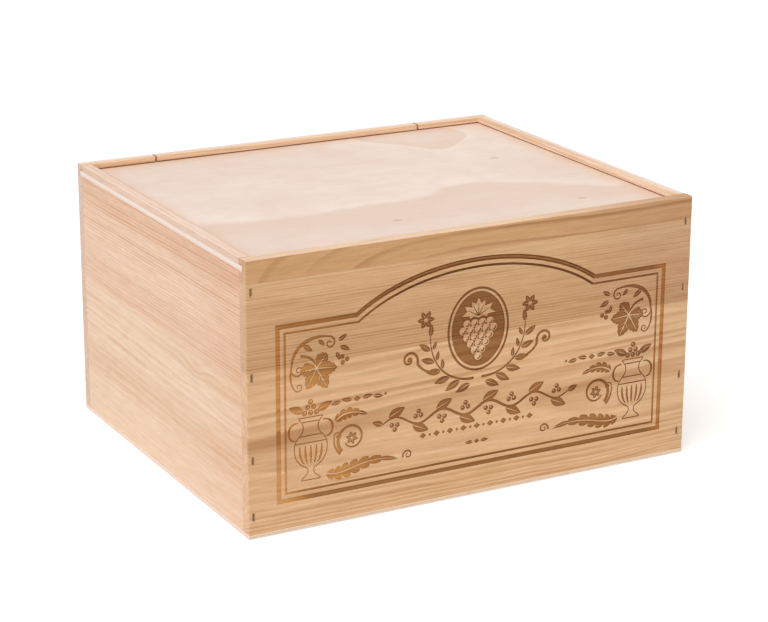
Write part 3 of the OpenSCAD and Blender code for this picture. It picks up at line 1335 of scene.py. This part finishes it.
    def cut_upper_corners(self) -> None:
        """Cuts a vine leaf within a scrolling tendril into each upper corner."""
        leaf = self.vine_leaf(16.5)
        self.stamp_pair(leaf, (120.5, 109.5), -118)
        self.draw_pair(
            Stem.bend((121.5, 112.5), (123.0, 116.5), (127.0, 119.0), (132.0, 119.5)).taper(1.3, 2.0),
            Stem.bend((112.0, 130.0), (124.0, 132.5), (139.0, 128.0), (138.5, 110.0)).swell(2.6, 1.0),
            Stem.curl((111.0, 125.2), 4.9, 1.0, 78, 1.3).taper(1.3, 0.7),
            Stem.curl((133.6, 110.0), 4.9, 1.0, 0, -1.3).taper(1.2, 0.7),
            Stem.bend((137.2, 117.0), (139.5, 110.0), (140.5, 104.0), (137.0, 98.0)).swell(1.5, 0.7),
            Stem.curl((133.4, 98.6), 3.6, 0.9, -8, -1.2).taper(1.0, 0.6),
        )
        sprig = self.leaf(9.0, 4.0)
        for spot, turn, size in (
            ((104.5, 126.0), 150, 0.8),
            ((103.5, 122.0), 205, 0.9),
            ((106.0, 118.5), 250, 0.7),
            ((130.0, 126.5), 216, 0.9),
            ((119.0, 128.6), 226, 0.7),
        ):
            self.stamp_pair(sprig, spot, turn, size)
        discard(leaf, sprig)
        self.draw_pair(*(disc(spot, 1.7, 14) for spot in ((102.0, 114.5), (98.4, 112.4), (101.6, 110.6))))

    def cut_urn(self, place: Spot) -> None:
        """Cuts a fluted urn that is filled with grapes.

        Args:
            place: middle of its foot, in the right half; the left half gets a mirrored one.
        """
        foot = [(7.0, 0.0), (7.0, 1.8), (3.2, 4.2), (2.3, 6.5), (2.8, 8.6)]
        belly = [(7.0, 10.6), (10.4, 14.2), (12.2, 19.0), (12.4, 24.0), (11.4, 28.2)]
        neck = [(8.6, 31.4), (6.2, 33.8), (5.6, 37.0), (6.4, 40.0), (8.8, 42.4), (8.8, 44.0)]
        side = smoothed(smoothed(foot + belly + neck))
        wall = 0.75
        inner = [(x, min(max(z, wall), 44.0 - wall)) for x, z in (Stem(side).at(t, wall) for t in shares(40))]
        pieces = [self.prism(mirrored(side), mirrored(inner))]

        def half_width(height: float) -> float:
            """Gives how far the urn reaches inside its outline at a height."""
            return min(inner, key=lambda spot: abs(spot[1] - height))[0]

        for share in (-0.72, -0.36, 0.0, 0.36, 0.72):
            heights = [11.8 + 12.4 * i / 12 for i in range(13)]
            flute = Stem([(share * (half_width(height) - 0.4), height) for height in heights])
            pieces.append(self.prism(flute.swell(1.7, 0.5)))
        for height, thick in ((26.2, 0.8), (31.0, 0.7), (40.6, 0.8)):
            reach = half_width(height) + 0.3
            hoop = Stem([(-reach, height), (reach, height)])
            pieces.append(self.prism(hoop.taper(thick, thick)))
        for way in (-1, 1):
            handle = Stem.bend((way * 11.4, 28.8), (way * 18.0, 29.0), (way * 17.5, 42.0), (way * 9.0, 40.6))
            pieces.append(self.prism(handle.swell(1.6, 0.8)))
        for spot in self.bunch((0.0, 46.6), ((3, 0.0), (2, 3.7), (1, 7.4)), 4.3):
            glint = disc((spot[0] - 0.4, spot[1] + 0.4), 0.6, 8)
            pieces.append(self.prism(disc(spot, 1.9, 14), glint))
        for piece in pieces:
            self.stamp_pair(piece, place)
        leaf = self.leaf(11.5, 5.4)
        for way, turn in ((1, 24.0), (-1, 156.0)):
            self.stamp_pair(leaf, (place[0] + way * 5.2, place[1] + 47.5), turn)
        discard(leaf, *pieces)

    def cut_lower_corners(self) -> None:
        """Cuts an urn, lobed leaves and a scroll with a flower into each lower corner."""
        self.cut_urn((125.0, 33.5))
        level = Stem.bend((113.5, 36.0), (101.0, 30.0), (87.0, 45.0), (60.0, 36.5), steps=40)
        short = Stem.bend((107.0, 71.0), (101.0, 76.5), (93.0, 76.5), (83.0, 72.0), steps=30)
        for stem, half, lobes in ((level, 5.4, 7), (short, 4.0, 5)):
            self.draw_pair(*(stem.half_leaf(side, half, lobes) for side in (1, -1)))
        centre = (95.0, 57.5)
        petal = self.leaf(4.0, 2.6, 0.3)
        self.stamp_petals(petal, centre, 0.7, 15, 1, -1)
        discard(petal)
        self.draw_pair(
            Stem.curl(centre, 11.0, 5.6, -48, 1.05, 60).taper(2.4, 1.0),
            Stem.bend((103.5, 47.5), (107.0, 51.0), (108.5, 55.0), (108.0, 60.0)).taper(1.8, 0.8),
            Stem.curl((104.9, 60.3), 3.2, 0.9, 0, 1.2).taper(0.9, 0.6),
            Stem.curl((53.0, 38.2), 4.0, 1.0, -20, 1.3).taper(1.4, 0.7),
        )

    def cut_all(self, *planks: Piece) -> None:
        """Cuts the whole ornament into the planks that it crosses.

        Args:
            planks: the planks.
        """
        self.cut_frame()
        self.cut_medallion()
        self.cut_wreath()
        self.cut_garland()
        self.cut_beads()
        self.cut_upper_corners()
        self.cut_lower_corners()
        self.chisels.cut(*planks)


# ------------------------------------------------------------------------------- carpentry


@dataclass(frozen=True)
class Tints:
    """Tints of a plank's rim, sawn ends and lip, and whether its rim pales towards the outside; the rim's and
    the lip's tints are painted light.
    """

    # painted highlight: the rim's top faces are made paler, standing in for the stronger light from above
    rim: Tint
    end: Tint = Tint("#DFBAAC", 0.38)
    # painted light: the lip's inner faces, which lie in shade, are made paler
    lip: Tint = Tint("#FFE9DA", 0.15)
    fades: bool = True


@dataclass
class Case:
    """Sizes that the parts of the case share, in millimetres.

    Attributes:
        half: half its length and half its depth.
        rim: height of the rim.
        wall: thickness of a wall.
        groove_floor: height of the floor of the lid's groove.
        torn: finish of torn wood.
        lip: thickness of the lip over the groove.
        groove_depth: depth of the groove.
        ease: width of the rounding along the rim.
        hairline: width of the rounding along a glued joint.
        upright: rise of an edge from which it counts as upright.
    """

    half: Spot
    rim: float
    wall: float
    groove_floor: float
    torn: Finish
    lip: float = 3.6
    groove_depth: float = 4.5
    ease: float = 0.6
    hairline: float = 0.14
    upright: float = 20.0

    @classmethod
    def from_frame(cls) -> Case:
        """Reads the sizes from the nodes' boxes."""
        (_, front, _), (right, inner, rim) = corners("front_top_board")
        return cls((right, -front), rim, inner - front, corners("left_upper_board")[1][2], Torn().make())

    @property
    def groove_top(self) -> float:
        """Height of the lip's underside."""
        return self.rim - self.lip


@dataclass
class StapleRow:
    """The staples of one node, and the wounds that they leave in the wood. Sizes are in millimetres.

    Attributes:
        node: the CAD node.
        axis: the axis that the staples were driven along, across which their crowns lie.
        side: -1 or 1, for the end of that axis that they were driven from.
        face: place of the wood's face along it.
        torn: finish of the wounds.
        play: gap round a crown.
        slot_depth: depth of the slot that a crown lies in.
        crown_depth: how far a crown reaches from the face at most.
        crown_reach: distance within which points belong to one crown.
        hollow_depth: thickness of the cutter of a hollow.
        hollow_margin: how much wider than its crown a hollow is.
        raised: how far the middle of that cutter lies outside the face.
        rough: how uneven a hollow is.
    """

    node: str
    axis: Axis
    side: int
    face: float
    torn: Finish
    play: float = 0.07
    slot_depth: float = 1.4
    crown_depth: float = 0.5
    crown_reach: float = 8.0
    hollow_depth: float = 0.9
    hollow_margin: float = 1.5
    raised: float = 0.1
    rough: float = 0.22

    def crowns(self) -> list[list[Vector]]:
        """Finds the crowns among the node's points.

        Returns:
            The lowest and the highest corner of each crown, in millimetres.
        """
        groups: list[list[Vector]] = []
        for vert in bpy.data.objects[self.node].data.vertices:
            spot = vert.co / MM
            if abs(spot[self.axis] - self.face) <= self.crown_depth:
                home = next((crown for crown in groups if (crown[0] - spot).length < self.crown_reach), [])
                if not home:
                    groups.append(home)
                home.append(spot)
        return [[Vector(map(pick, zip(*crown))) for pick in (min, max)] for crown in groups]

    def hollow(self, low: Vector, high: Vector, luck: random.Random) -> Piece:
        """Makes the cutter of a shallow torn hollow round a crown.

        Args:
            low: lowest corner of the crown, in millimetres.
            high: its highest corner.
            luck: source of its unevenness.

        Returns:
            The cutter.
        """
        take_up()
        bpy.ops.mesh.primitive_uv_sphere_add(segments=18, ring_count=9, radius=0.5 * MM)
        cutter = bpy.context.active_object
        spread = [size + self.hollow_margin for size in high - low]
        spread[self.axis] = self.hollow_depth
        spread[spread.index(max(spread))] += self.hollow_depth
        place = (low + high) / 2
        place[self.axis] = self.face + self.side * self.raised
        for vert in cutter.data.vertices:
            drift = 1 + luck.uniform(-self.rough, self.rough)
            vert.co = Vector([vert.co[i] * spread[i] * drift + place[i] * MM for i in range(3)])
        paint(cutter, self.torn)
        return cutter

    def cut(self, *planks: Piece) -> None:
        """Cuts a slot and a torn hollow for every staple.

        Args:
            planks: the planks that the staples were driven into.
        """
        chisels = Chisels()
        luck = random.Random(len(self.node))
        for low, high in self.crowns():
            first, second = [c - self.play for c in low], [c + self.play for c in high]
            depths = (self.face + self.side * OVERCUT, self.face - self.side * self.slot_depth)
            first[self.axis], second[self.axis] = sorted(depths)
            chisels.add(add_block("slot", first, second, self.torn), self.hollow(low, high, luck))
        chisels.cut(*planks)


@dataclass
class Wall(ABC):
    """A wall of glued planks.

    Attributes:
        case: the case that it belongs to.
        woods: woods of its planks, from the top, which name their nodes.
        side: -1 or 1, for the end of its axis where it stands.
        tints: tints of its planks' rims, ends and lips.
        axis: axis that it faces along.
    """

    case: Case
    woods: tuple[Pine, ...]
    side: int
    tints: Tints
    axis: Axis

    @property
    def outer(self) -> float:
        """Place of its outer face along its axis."""
        return self.side * self.case.half[self.axis]

    @property
    def inner(self) -> float:
        """Place of its inner face along its axis."""
        return self.side * (self.case.half[self.axis] - self.case.wall)

    def make_plank(self, wood: Pine) -> Piece:
        """Makes a plank in the place of its node, with its groove and its rounded edges.

        Args:
            wood: its wood.

        Returns:
            The plank.
        """
        low, high = corners(wood.node)
        plank = add_block(wood.node.replace("_board", "_plank"), low, high, wood.make())
        rimmed = near(high[2], self.case.rim)
        if rimmed:
            self.plough_groove(plank)
        self.ease(plank, [z for z in (low[2], high[2]) if not near(z, self.case.rim)])
        if rimmed:
            self.tint_rim(plank, wood)
        if wood.runs is Axis.X:
            half = self.case.half[0]
            end = wood.tinted("end", self.tints.end, 0.6)
            paint(plank, end, lambda spot, normal: abs(normal.x) > FLAT and near(abs(spot.x), half))
        return plank

    def plough_groove(self, plank: Piece) -> None:
        """Ploughs the lid's groove into a plank.

        Args:
            plank: the plank.
        """
        spans = [[-half - OVERCUT, half + OVERCUT] for half in self.case.half]
        ends = (self.inner - self.side * OVERCUT, self.inner + self.side * self.case.groove_depth)
        spans[self.axis] = sorted(ends)
        low, high = zip(*spans, (self.case.groove_floor, self.case.groove_top))
        plough = Chisels()
        # Painted light: the groove's faces get a pale tone that lightens the shadow in the gap round the lid.
        plough.add(add_block("groove", low, high, Torn("groove_wood", "#FFE9D6", "#F2CDA8").make()))
        plough.cut(plank)

    def tint_rim(self, plank: Piece, wood: Pine) -> None:
        """Gives the rim and the lip of a plank their own paler tints, which are painted light.

        Args:
            plank: the plank.
            wood: its wood.
        """
        case = self.case
        long, deep = (half - 1.0 for half in case.half)
        fade = Fade(abs(self.inner), abs(self.outer) - 1.0) if self.tints.fades else None

        def lipped(spot: Vector, normal: Vector) -> bool:
            """Tells whether a face is the lip's inner one."""
            within = abs(spot.x) < long and abs(spot.y) < deep
            return within and abs(normal.z) < LEVEL and spot.z > case.groove_top

        def rimmed(spot: Vector, normal: Vector) -> bool:
            """Tells whether a face belongs to the rim."""
            return normal.z > LEVEL and spot.z > case.rim - case.ease

        # Painted light: the lip's inner faces, which lie in shade, get a paler copy of the wood.
        paint(plank, wood.tinted("lip", self.tints.lip), lipped)
        # Painted highlight: the rim's top faces get a paler copy of the wood, standing in for the stronger
        # light from above.
        paint(plank, wood.tinted("rim", self.tints.rim, 0.7, fade), rimmed)

    @abstractmethod
    def ease(self, plank: Piece, joints: list[float]) -> None:
        """Rounds the edges of a plank, given the heights at which it is glued to others."""

    def cut(self, planks: list[Piece]) -> None:
        """Cuts nothing into the planks; the long walls do."""

    def build(self) -> None:
        """Builds and dresses the wall."""
        planks = [self.make_plank(wood) for wood in self.woods]
        self.cut(planks)
        for wood, plank in zip(self.woods, planks):
            hand_over(plank, "box", wood.node)


@dataclass
class LongWall(Wall):
    """A wall at the front or the back, whose ends show their grain."""

    axis: Axis = Axis.Y

    def ease(self, plank: Piece, joints: list[float]) -> None:
        """Rounds the edges of a plank.

        Args:
            plank: the plank.
            joints: heights at which it is glued to others.
        """
        case = self.case

        def outside(edge: Edge) -> bool:
            """Tells whether an edge lies on the outside of the case.

            Args:
                edge: the edge.

            Returns:
                True on the rim and at the outer corners of the whole case.
            """
            ends = edge.at(Axis.X, -case.half[0], case.half[0]) and edge.across(Axis.X)
            rim = edge.at(Axis.Z, case.rim) and edge.across(Axis.Y)
            return rim or (ends and edge.at(Axis.Y, self.outer))

        ease_edges(plank, case.ease, outside)
        ease_edges(plank, case.hairline, lambda edge: edge.at(Axis.Z, *joints) and edge.across(Axis.Z), 1)


@dataclass
class ShortWall(Wall):
    """A wall at the left or the right, between the long ones."""

    axis: Axis = Axis.X

    def ease(self, plank: Piece, joints: list[float]) -> None:
        """Rounds the edges of a plank, all finely but the rim.

        Args:
            plank: the plank.
            joints: heights at which it is glued to others.
        """
        case = self.case

        def shouldered(edge: Edge) -> bool:
            """Tells whether an edge lies under the lid, on the outside."""
            return edge.at(Axis.Z, case.groove_floor) and edge.at(Axis.X, -case.half[0])

        def jointed(edge: Edge) -> bool:
            """Tells whether an edge lies in a glued joint or is upright."""
            level = edge.at(Axis.Z, *joints) and edge.across(Axis.Z)
            return (level and not shouldered(edge)) or abs(edge.first.z - edge.second.z) > case.upright

        ease_edges(plank, case.ease, lambda edge: edge.at(Axis.Z, case.rim) and edge.across(Axis.X))
        ease_edges(plank, case.ease / 2, shouldered, 1)
        ease_edges(plank, case.hairline, jointed, 1)


@dataclass
class FrontWall(LongWall):
    """Three glued planks, grooved along the top and burnt with the ornament."""

    side: int = -1
    # The rim's tint is a painted highlight on the top faces.
    tints: Tints = Tints(Tint("#FFE2CA", 0.7), fades=False)
    burns: tuple[Burn, ...] = (Burn(), Burn("charred", "#A3875A", "#ECD8B0", "#C9AC7C", gild=0.6))
    woods: tuple[Pine, ...] = (
        Pine(
            "front_top_wood", Axis.X, "#D7A573", "#9A612E", (165.8, -142.3), (0.0, -0.142),
            ring=10.5, wander=0.9, stray=60.0, bold=0.6, season=(0.66, 0.88, 0.96), bow=0.00069,
            uneven=0.0, pale="#E2B486", paleness=0.2, flush=Fade(20.0, 165.0, "#C6966A"), seed=11.0,
        ),
        Pine(
            "front_middle_wood", Axis.X, "#E2B484", "#A96C38", (240.0, -150.0), (0.004, 0.0),
            ring=2.0, wander=1.2, stray=260.0, bold=0.42, season=(0.0, 0.7, 0.8),
            pale="#F2CB9E", paleness=0.14, flush=Fade(40.0, 165.0, "#D0A57B"), seed=23.0,
            streaks=(
                Streak(90.0, 149.0, 0.0, 0.17, 5.0),
                Streak(90.0, 127.0, 0.4, 0.08),
                Streak(152.0, 158.0, 0.3, 0.1),
                Streak(162.0, 190.0, -0.4),
            ),
        ),
        Pine(
            "front_bottom_wood", Axis.X, "#EABB8B", "#AC6F38", (57.0, -97.0), (0.0, 0.02),
            ring=4.1, wander=2.6, stray=110.0, bold=0.55, season=(0.1, 0.72, 0.85), crowd=(34.0, 0.3),
            pale="#F6CDA2", paleness=0.4, flush=Fade(60.0, 165.0, "#E2B78A"), seed=37.0,
            swells=(Swell((184.0, -2.0), (58.0, 28.0), -11.0), Swell((172.0, 54.0), (30.0, 14.0), -7.0)),
            streaks=(
                Streak(-10.0, 21.0, 0.15, 0.0, 4.0),
                Streak(26.0, 58.0, -0.45, 0.0, 5.0),
                Streak(60.0, 69.0, 0.0, 0.27, 4.0),
                Streak(90.0, 125.0, -0.1, 0.0, 5.0),
            ),
        ),
    )

    def cut(self, planks: list[Piece]) -> None:
        """Burns the ornament in and sinks the staples.

        Args:
            planks: the planks, from the top.
        """
        burns = {bpy.data.materials.new(burn.name): burn for burn in self.burns}
        Ornament(self.outer, *burns).cut_all(*planks[1:])
        StapleRow("front_staples", self.axis, self.side, self.outer, self.case.torn).cut(*planks)
        for wood, plank in zip(self.woods, planks):
            for slot in plank.material_slots:
                if slot.material in burns:
                    slot.material = burns[slot.material].make(wood)
        for burnt in burns:
            bpy.data.materials.remove(burnt)


@dataclass
class BackWall(LongWall):
    """Two glued planks, whose grooved lip is sawn through in two places."""

    side: int = 1
    tints: Tints = Tints(Tint("#E6D0C6", 0.1), Tint("#D9BFB2", 0.75), Tint("#FFE9DA", 0.25))
    kerfs: tuple[float, float] = (-112.0, 107.0)
    kerf: float = 1.6
    woods: tuple[Pine, ...] = (
        Pine(
            "back_upper_wood", Axis.X, "#F6CBA0", "#CB8F5B", (230.0, 190.0), (0.01, 0.01),
            ring=2.6, stray=200.0, bold=0.7, seed=41.0,
        ),
        Pine(
            "back_lower_wood", Axis.X, "#EBC294", "#B5814B", (40.0, 100.0), (0.0, 0.03),
            wander=3.0, stray=150.0, bold=0.85, seed=43.0,
        ),
    )

    def cut(self, planks: list[Piece]) -> None:
        """Saws through the lip and sinks the staples.

        Args:
            planks: the planks, from the top.
        """
        saw = Chisels()
        sawn = Torn("sawn_wood", "#EBC096", "#C08550").make()
        for x in self.kerfs:
            low = (x - self.kerf / 2, self.inner - OVERCUT, self.case.groove_top - TOUCH)
            high = (x + self.kerf / 2, self.outer + OVERCUT, self.case.rim + OVERCUT)
            saw.add(add_block("kerf", low, high, sawn))
        saw.cut(planks[0])
        StapleRow("back_staples", self.axis, self.side, self.outer, self.case.torn).cut(*planks)


@dataclass
class LeftWall(ShortWall):
    """Two glued planks that end below the lid, which slides out over them."""

    side: int = -1
    tints: Tints = Tints(Tint("#F0D8CA", 0.1))
    woods: tuple[Pine, ...] = (
        Pine(
            "left_upper_wood", Axis.Y, "#F6D3B6", "#CC8856", (205.0, -150.0), (0.01, 0.01),
            ring=2.2, wander=1.8, stray=150.0, bold=0.42, season=(0.0, 0.7, 0.82),
            pale="#F6DCC8", paleness=0.2, flush=Fade(-50.0, -150.0, "#EEC2A2"), seed=53.0,
            streaks=(
                # Darker stretch up to the lid: partly the wood's own tone, partly painted shade under the
                # lid's edge.
                Streak(164.0, 190.0, 0.3, 0.24, 6.0),
                Streak(151.0, 157.0, 0.5, 0.06),
                Streak(104.0, 126.0, 0.2, 0.12, 5.0),
            ),
        ),
        Pine(
            "left_lower_wood", Axis.Y, "#F3D4B6", "#D0935F", (-40.0, -150.0), (-0.01, 0.0),
            ring=5.6, wander=4.5, stray=110.0, bold=0.32, season=(0.1, 0.75, 0.85),
            pale="#F8DFC9", flush=Fade(-50.0, -150.0, "#F1C7A6"), seed=59.0,
            swells=(Swell((-62.0, 93.0), (18.0, 8.0), 5.0), Swell((-110.0, 84.0), (30.0, 12.0), 3.0)),
            streaks=(
                Streak(-10.0, 31.0, -0.97, 0.09, 5.0),
                Streak(35.0, 61.0, 0.2, 0.2, 5.0),
                Streak(88.0, 96.0, 0.6, 0.1, 2.5),
            ),
        ),
    )


@dataclass
class RightWall(ShortWall):
    """Two glued planks that reach the rim and stop the lid."""

    side: int = 1
    # The lip's strong tint is painted light on its shaded inner faces.
    tints: Tints = Tints(Tint("#F0D8CA", 0.1), lip=Tint("#FFE9DA", 0.62))
    woods: tuple[Pine, ...] = (
        Pine(
            "right_upper_wood", Axis.Y, "#F5C99C", "#C48A58", (120.0, 200.0), (0.0, 0.02),
            wander=2.6, stray=150.0, bold=0.85, seed=61.0,
        ),
        Pine(
            "right_lower_wood", Axis.Y, "#F0CBA0", "#BB8753", (60.0, 130.0), (0.0, 0.04),
            ring=3.6, wander=3.0, stray=140.0, bold=0.85, seed=67.0,
        ),
    )


@dataclass
class BottomSheet:
    """Thin plywood sheet, stapled up into the walls."""

    case: Case
    edge: float = 0.3
    face: Veneer = Veneer(
        "bottom_veneer", "#F0DFCB", "#D8BA98", "#EED6C2",
        (Swell((-60.0, 40.0), (60.0, 50.0), -0.5), Swell((90.0, -30.0), (70.0, 50.0), 0.45)),
        ((60.0, -40.0), (-90.0, 70.0)), start=60.0, ring=90.0, seed=5.0,
    )

    def build(self) -> None:
        """Builds and dresses the sheet."""
        low, high = corners("bottom_sheet")
        sheet = add_block("bottom_panel", low, high, self.face.make())
        ease_edges(sheet, self.edge, lambda edge: True, 2)
        layers = (low[2], high[2] - low[2], 2)
        # Lit and shaded copies of one ply finish: the left edges get the paler copy, a painted highlight
        # where the light from the left falls, and the other edges the darker one.
        plies = PlyEdge("bottom_plies", *layers, "#FFE6C6", "#E8C9AE", "#FFEEDD").make()
        left_plies = PlyEdge("left_plies", *layers, "#FFE8DA", "#F4D8C6", "#FFE6DA").make()
        paint(sheet, plies, lambda spot, normal: abs(normal.z) < FLAT)
        paint(sheet, left_plies, lambda spot, normal: normal.x < -FLAT)
        StapleRow("bottom_staples", Axis.Z, -1, low[2], self.case.torn).cut(sheet)
        hand_over(sheet, "box", "bottom_sheet")


@dataclass
class Lid:
    """Plywood sheet that slides in the grooves, with a sloped strip to pull it by."""

    case: Case
    edge: float = 0.25
    worn_edge: float = 0.8
    strip_edge: float = 0.4
    strip_flat: float = 7.0
    strip_foot: float = 0.8
    face: Veneer = Veneer(
        "lid_veneer", "#F9E7D9", "#E9CAB4", "#F7E0D1",
        (
            Swell((68.0, 135.0), (46.0, 40.0), 1.05),
            Swell((92.0, 84.0), (26.0, 40.0), 0.5),
            Swell((128.0, 122.0), (34.0, 50.0), 0.75),
            Swell((57.0, -30.0), (38.0, 45.0), 0.12),
            Swell((155.0, -80.0), (40.0, 50.0), -0.16),
            Swell((-150.0, -36.0), (22.0, 40.0), 0.05),
            Swell((-78.0, 22.0), (48.0, 34.0), 0.2),
        ),
        ((114.5, 30.4), (109.3, -96.4), (-32.0, -87.5)), start=155.0, ring=200.0, seed=2.0,
        stains=(Swell((140.0, -22.0), (34.0, 48.0), 0.32), Swell((-85.0, 10.0), (40.0, 26.0), 0.18)),
    )
    strip_wood: Pine = Pine(
        "strip_wood", Axis.Y, "#F4D7C2", "#DFB594", (120.0, -210.0),
        ring=2.2, wander=1.0, stray=200.0, bold=0.6, seed=71.0,
    )

    def build(self) -> None:
        """Builds and dresses the sheet and its strip."""
        low, high = corners("lid_sheet")
        sheet = add_block("lid_panel", low, high, self.face.make())
        ease_edges(sheet, self.worn_edge, lambda edge: edge.at(Axis.X, low[0]) and edge.at(Axis.Z, low[2]), 1)
        ease_edges(sheet, self.edge, lambda edge: edge.at(Axis.Z, high[2]), 2)
        plies = PlyEdge("lid_plies", low[2], high[2] - low[2]).make()
        paint(sheet, plies, lambda spot, normal: abs(normal.z) < FLAT)
        StapleRow("strip_staples", Axis.Z, -1, low[2], self.case.torn).cut(sheet)
        hand_over(sheet, "lid", "lid_sheet")
        self.build_strip(*corners("lid_pull_strip"))

    def build_strip(self, low: Point, high: Point) -> None:
        """Builds the strip and planes its slope.

        Args:
            low: lowest corner of the strip.
            high: its highest corner.
        """
        strip = add_block("lid_grip", low, high, self.strip_wood.make())
        with editing(strip, "SELECT"):
            ridge = ((low[0] + self.strip_flat) * MM, 0.0, 0.0)
            bpy.ops.mesh.bisect(plane_co=ridge, plane_no=(1.0, 0.0, 0.0))
            bpy.ops.mesh.select_all(action="DESELECT")
            mesh = bmesh.from_edit_mesh(strip.data)
            for vert in mesh.verts:
                vert.select_set(near(vert.co.x / MM, high[0]) and near(vert.co.z / MM, high[2]))
            mesh.select_flush(True)
            bmesh.update_edit_mesh(strip.data)
            drop = (high[2] - low[2] - self.strip_foot) * MM
            bpy.ops.transform.translate(value=(0.0, 0.0, -drop))
        ease_edges(strip, self.strip_edge, lambda edge: edge.at(Axis.Z, high[2]))
        # Painted shade: the strip's left side gets a darker copy of its wood, so that its top shows paler, as
        # the light from above makes it.
        side = self.strip_wood.tinted("side", Tint("#E3C2AC", 0.6))
        paint(strip, side, lambda spot, normal: normal.x < -FLAT)
        hand_over(strip, "lid", "lid_pull_strip")


def dress_staples() -> None:
    """Gives the staples their wire finish."""
    wire = Wire().make()
    for node in ("front_staples", "back_staples", "bottom_staples", "strip_staples"):
        for slot in bpy.data.objects[node].material_slots:
            slot.material = wire
        log.info("%s are %s", node, wire.name)


@dataclass
class Studio:
    """Pale floor, soft light and the camera. Places are in metres and angles in degrees."""

    camera_place: Point = (-0.7669059, -1.4210471, 0.6049798)
    camera_turn: Point = (72.320215, -0.214661, -28.467055)
    lens: float = 110.64
    sensor: float = 36.0
    floor_size: float = 12.0
    floor_drop: float = 0.0002
    floor_glow: float = 0.35
    world_light: float = 0.62
    sun: Point = (-0.26, -0.17, 0.47)
    sun_width: float = 50.0

    def build(self) -> None:
        """Builds the studio."""
        self.lay_floor()
        self.light()
        self.set_camera()
        bpy.context.scene.view_settings.view_transform = "Standard"

    def lay_floor(self) -> None:
        """Lays a wide pale floor, which shows to the camera as white where no shadow lies."""
        take_up()
        bpy.ops.mesh.primitive_plane_add(size=self.floor_size, location=(0.0, 0.0, -self.floor_drop))
        floor = bpy.context.active_object
        bpy.ops.object.transform_apply(location=True, rotation=True, scale=True)
        floor.name = "floor"
        coat = Coat("floor_paper")
        fleck = coat.noise(c * 0.02 for c in coat.spot)
        paper = coat.mix(fleck, (0.86, 0.86, 0.86, 1.0), (0.88, 0.88, 0.88, 1.0))
        glow = coat.seen() * self.floor_glow
        paint(floor, coat.done(paper, 0.9, 0.0, Emission_Color="#FFFFFF", Emission_Strength=glow))

    def light(self) -> None:
        """Sets the world and a broad soft sun."""
        world = bpy.data.worlds.new("studio")
        bpy.context.scene.world = world
        sky = Recipe(world)
        strength = sky.node("MapRange", {"Value": sky.seen(), "To Min": self.world_light, "To Max": 1.0})
        background = sky.node("Background", {"Strength": strength.outputs["Result"]})
        sky.node("OutputWorld", {"Surface": background.outputs["Background"]})
        lamp = bpy.data.lights.new("soft_sun", "SUN")
        way = Vector(self.sun)
        lamp.energy = math.pi * way.length
        lamp.angle = math.radians(self.sun_width)
        sun = bpy.data.objects.new("soft_sun", lamp)
        sun.rotation_euler = way.to_track_quat("Z", "Y").to_euler()
        bpy.context.scene.collection.objects.link(sun)

    def set_camera(self) -> None:
        """Sets the camera."""
        lens = bpy.data.cameras.new("camera")
        lens.lens = self.lens
        lens.sensor_width = self.sensor
        lens.clip_start = 0.01
        camera = bpy.data.objects.new("camera", lens)
        camera.location = self.camera_place
        camera.rotation_euler = [math.radians(angle) for angle in self.camera_turn]
        bpy.context.scene.collection.objects.link(camera)
        bpy.context.scene.camera = camera


def main() -> None:
    """Builds the case part by part and reports each piece."""
    logging.basicConfig(level=logging.INFO, format="%(name)s: %(message)s", stream=sys.stdout)
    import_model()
    case = Case.from_frame()
    Studio().build()
    for part in (FrontWall, BackWall, LeftWall, RightWall, BottomSheet, Lid):
        part(case).build()
    dress_staples()
    take_up()


if __name__ == "__main__":
    main()
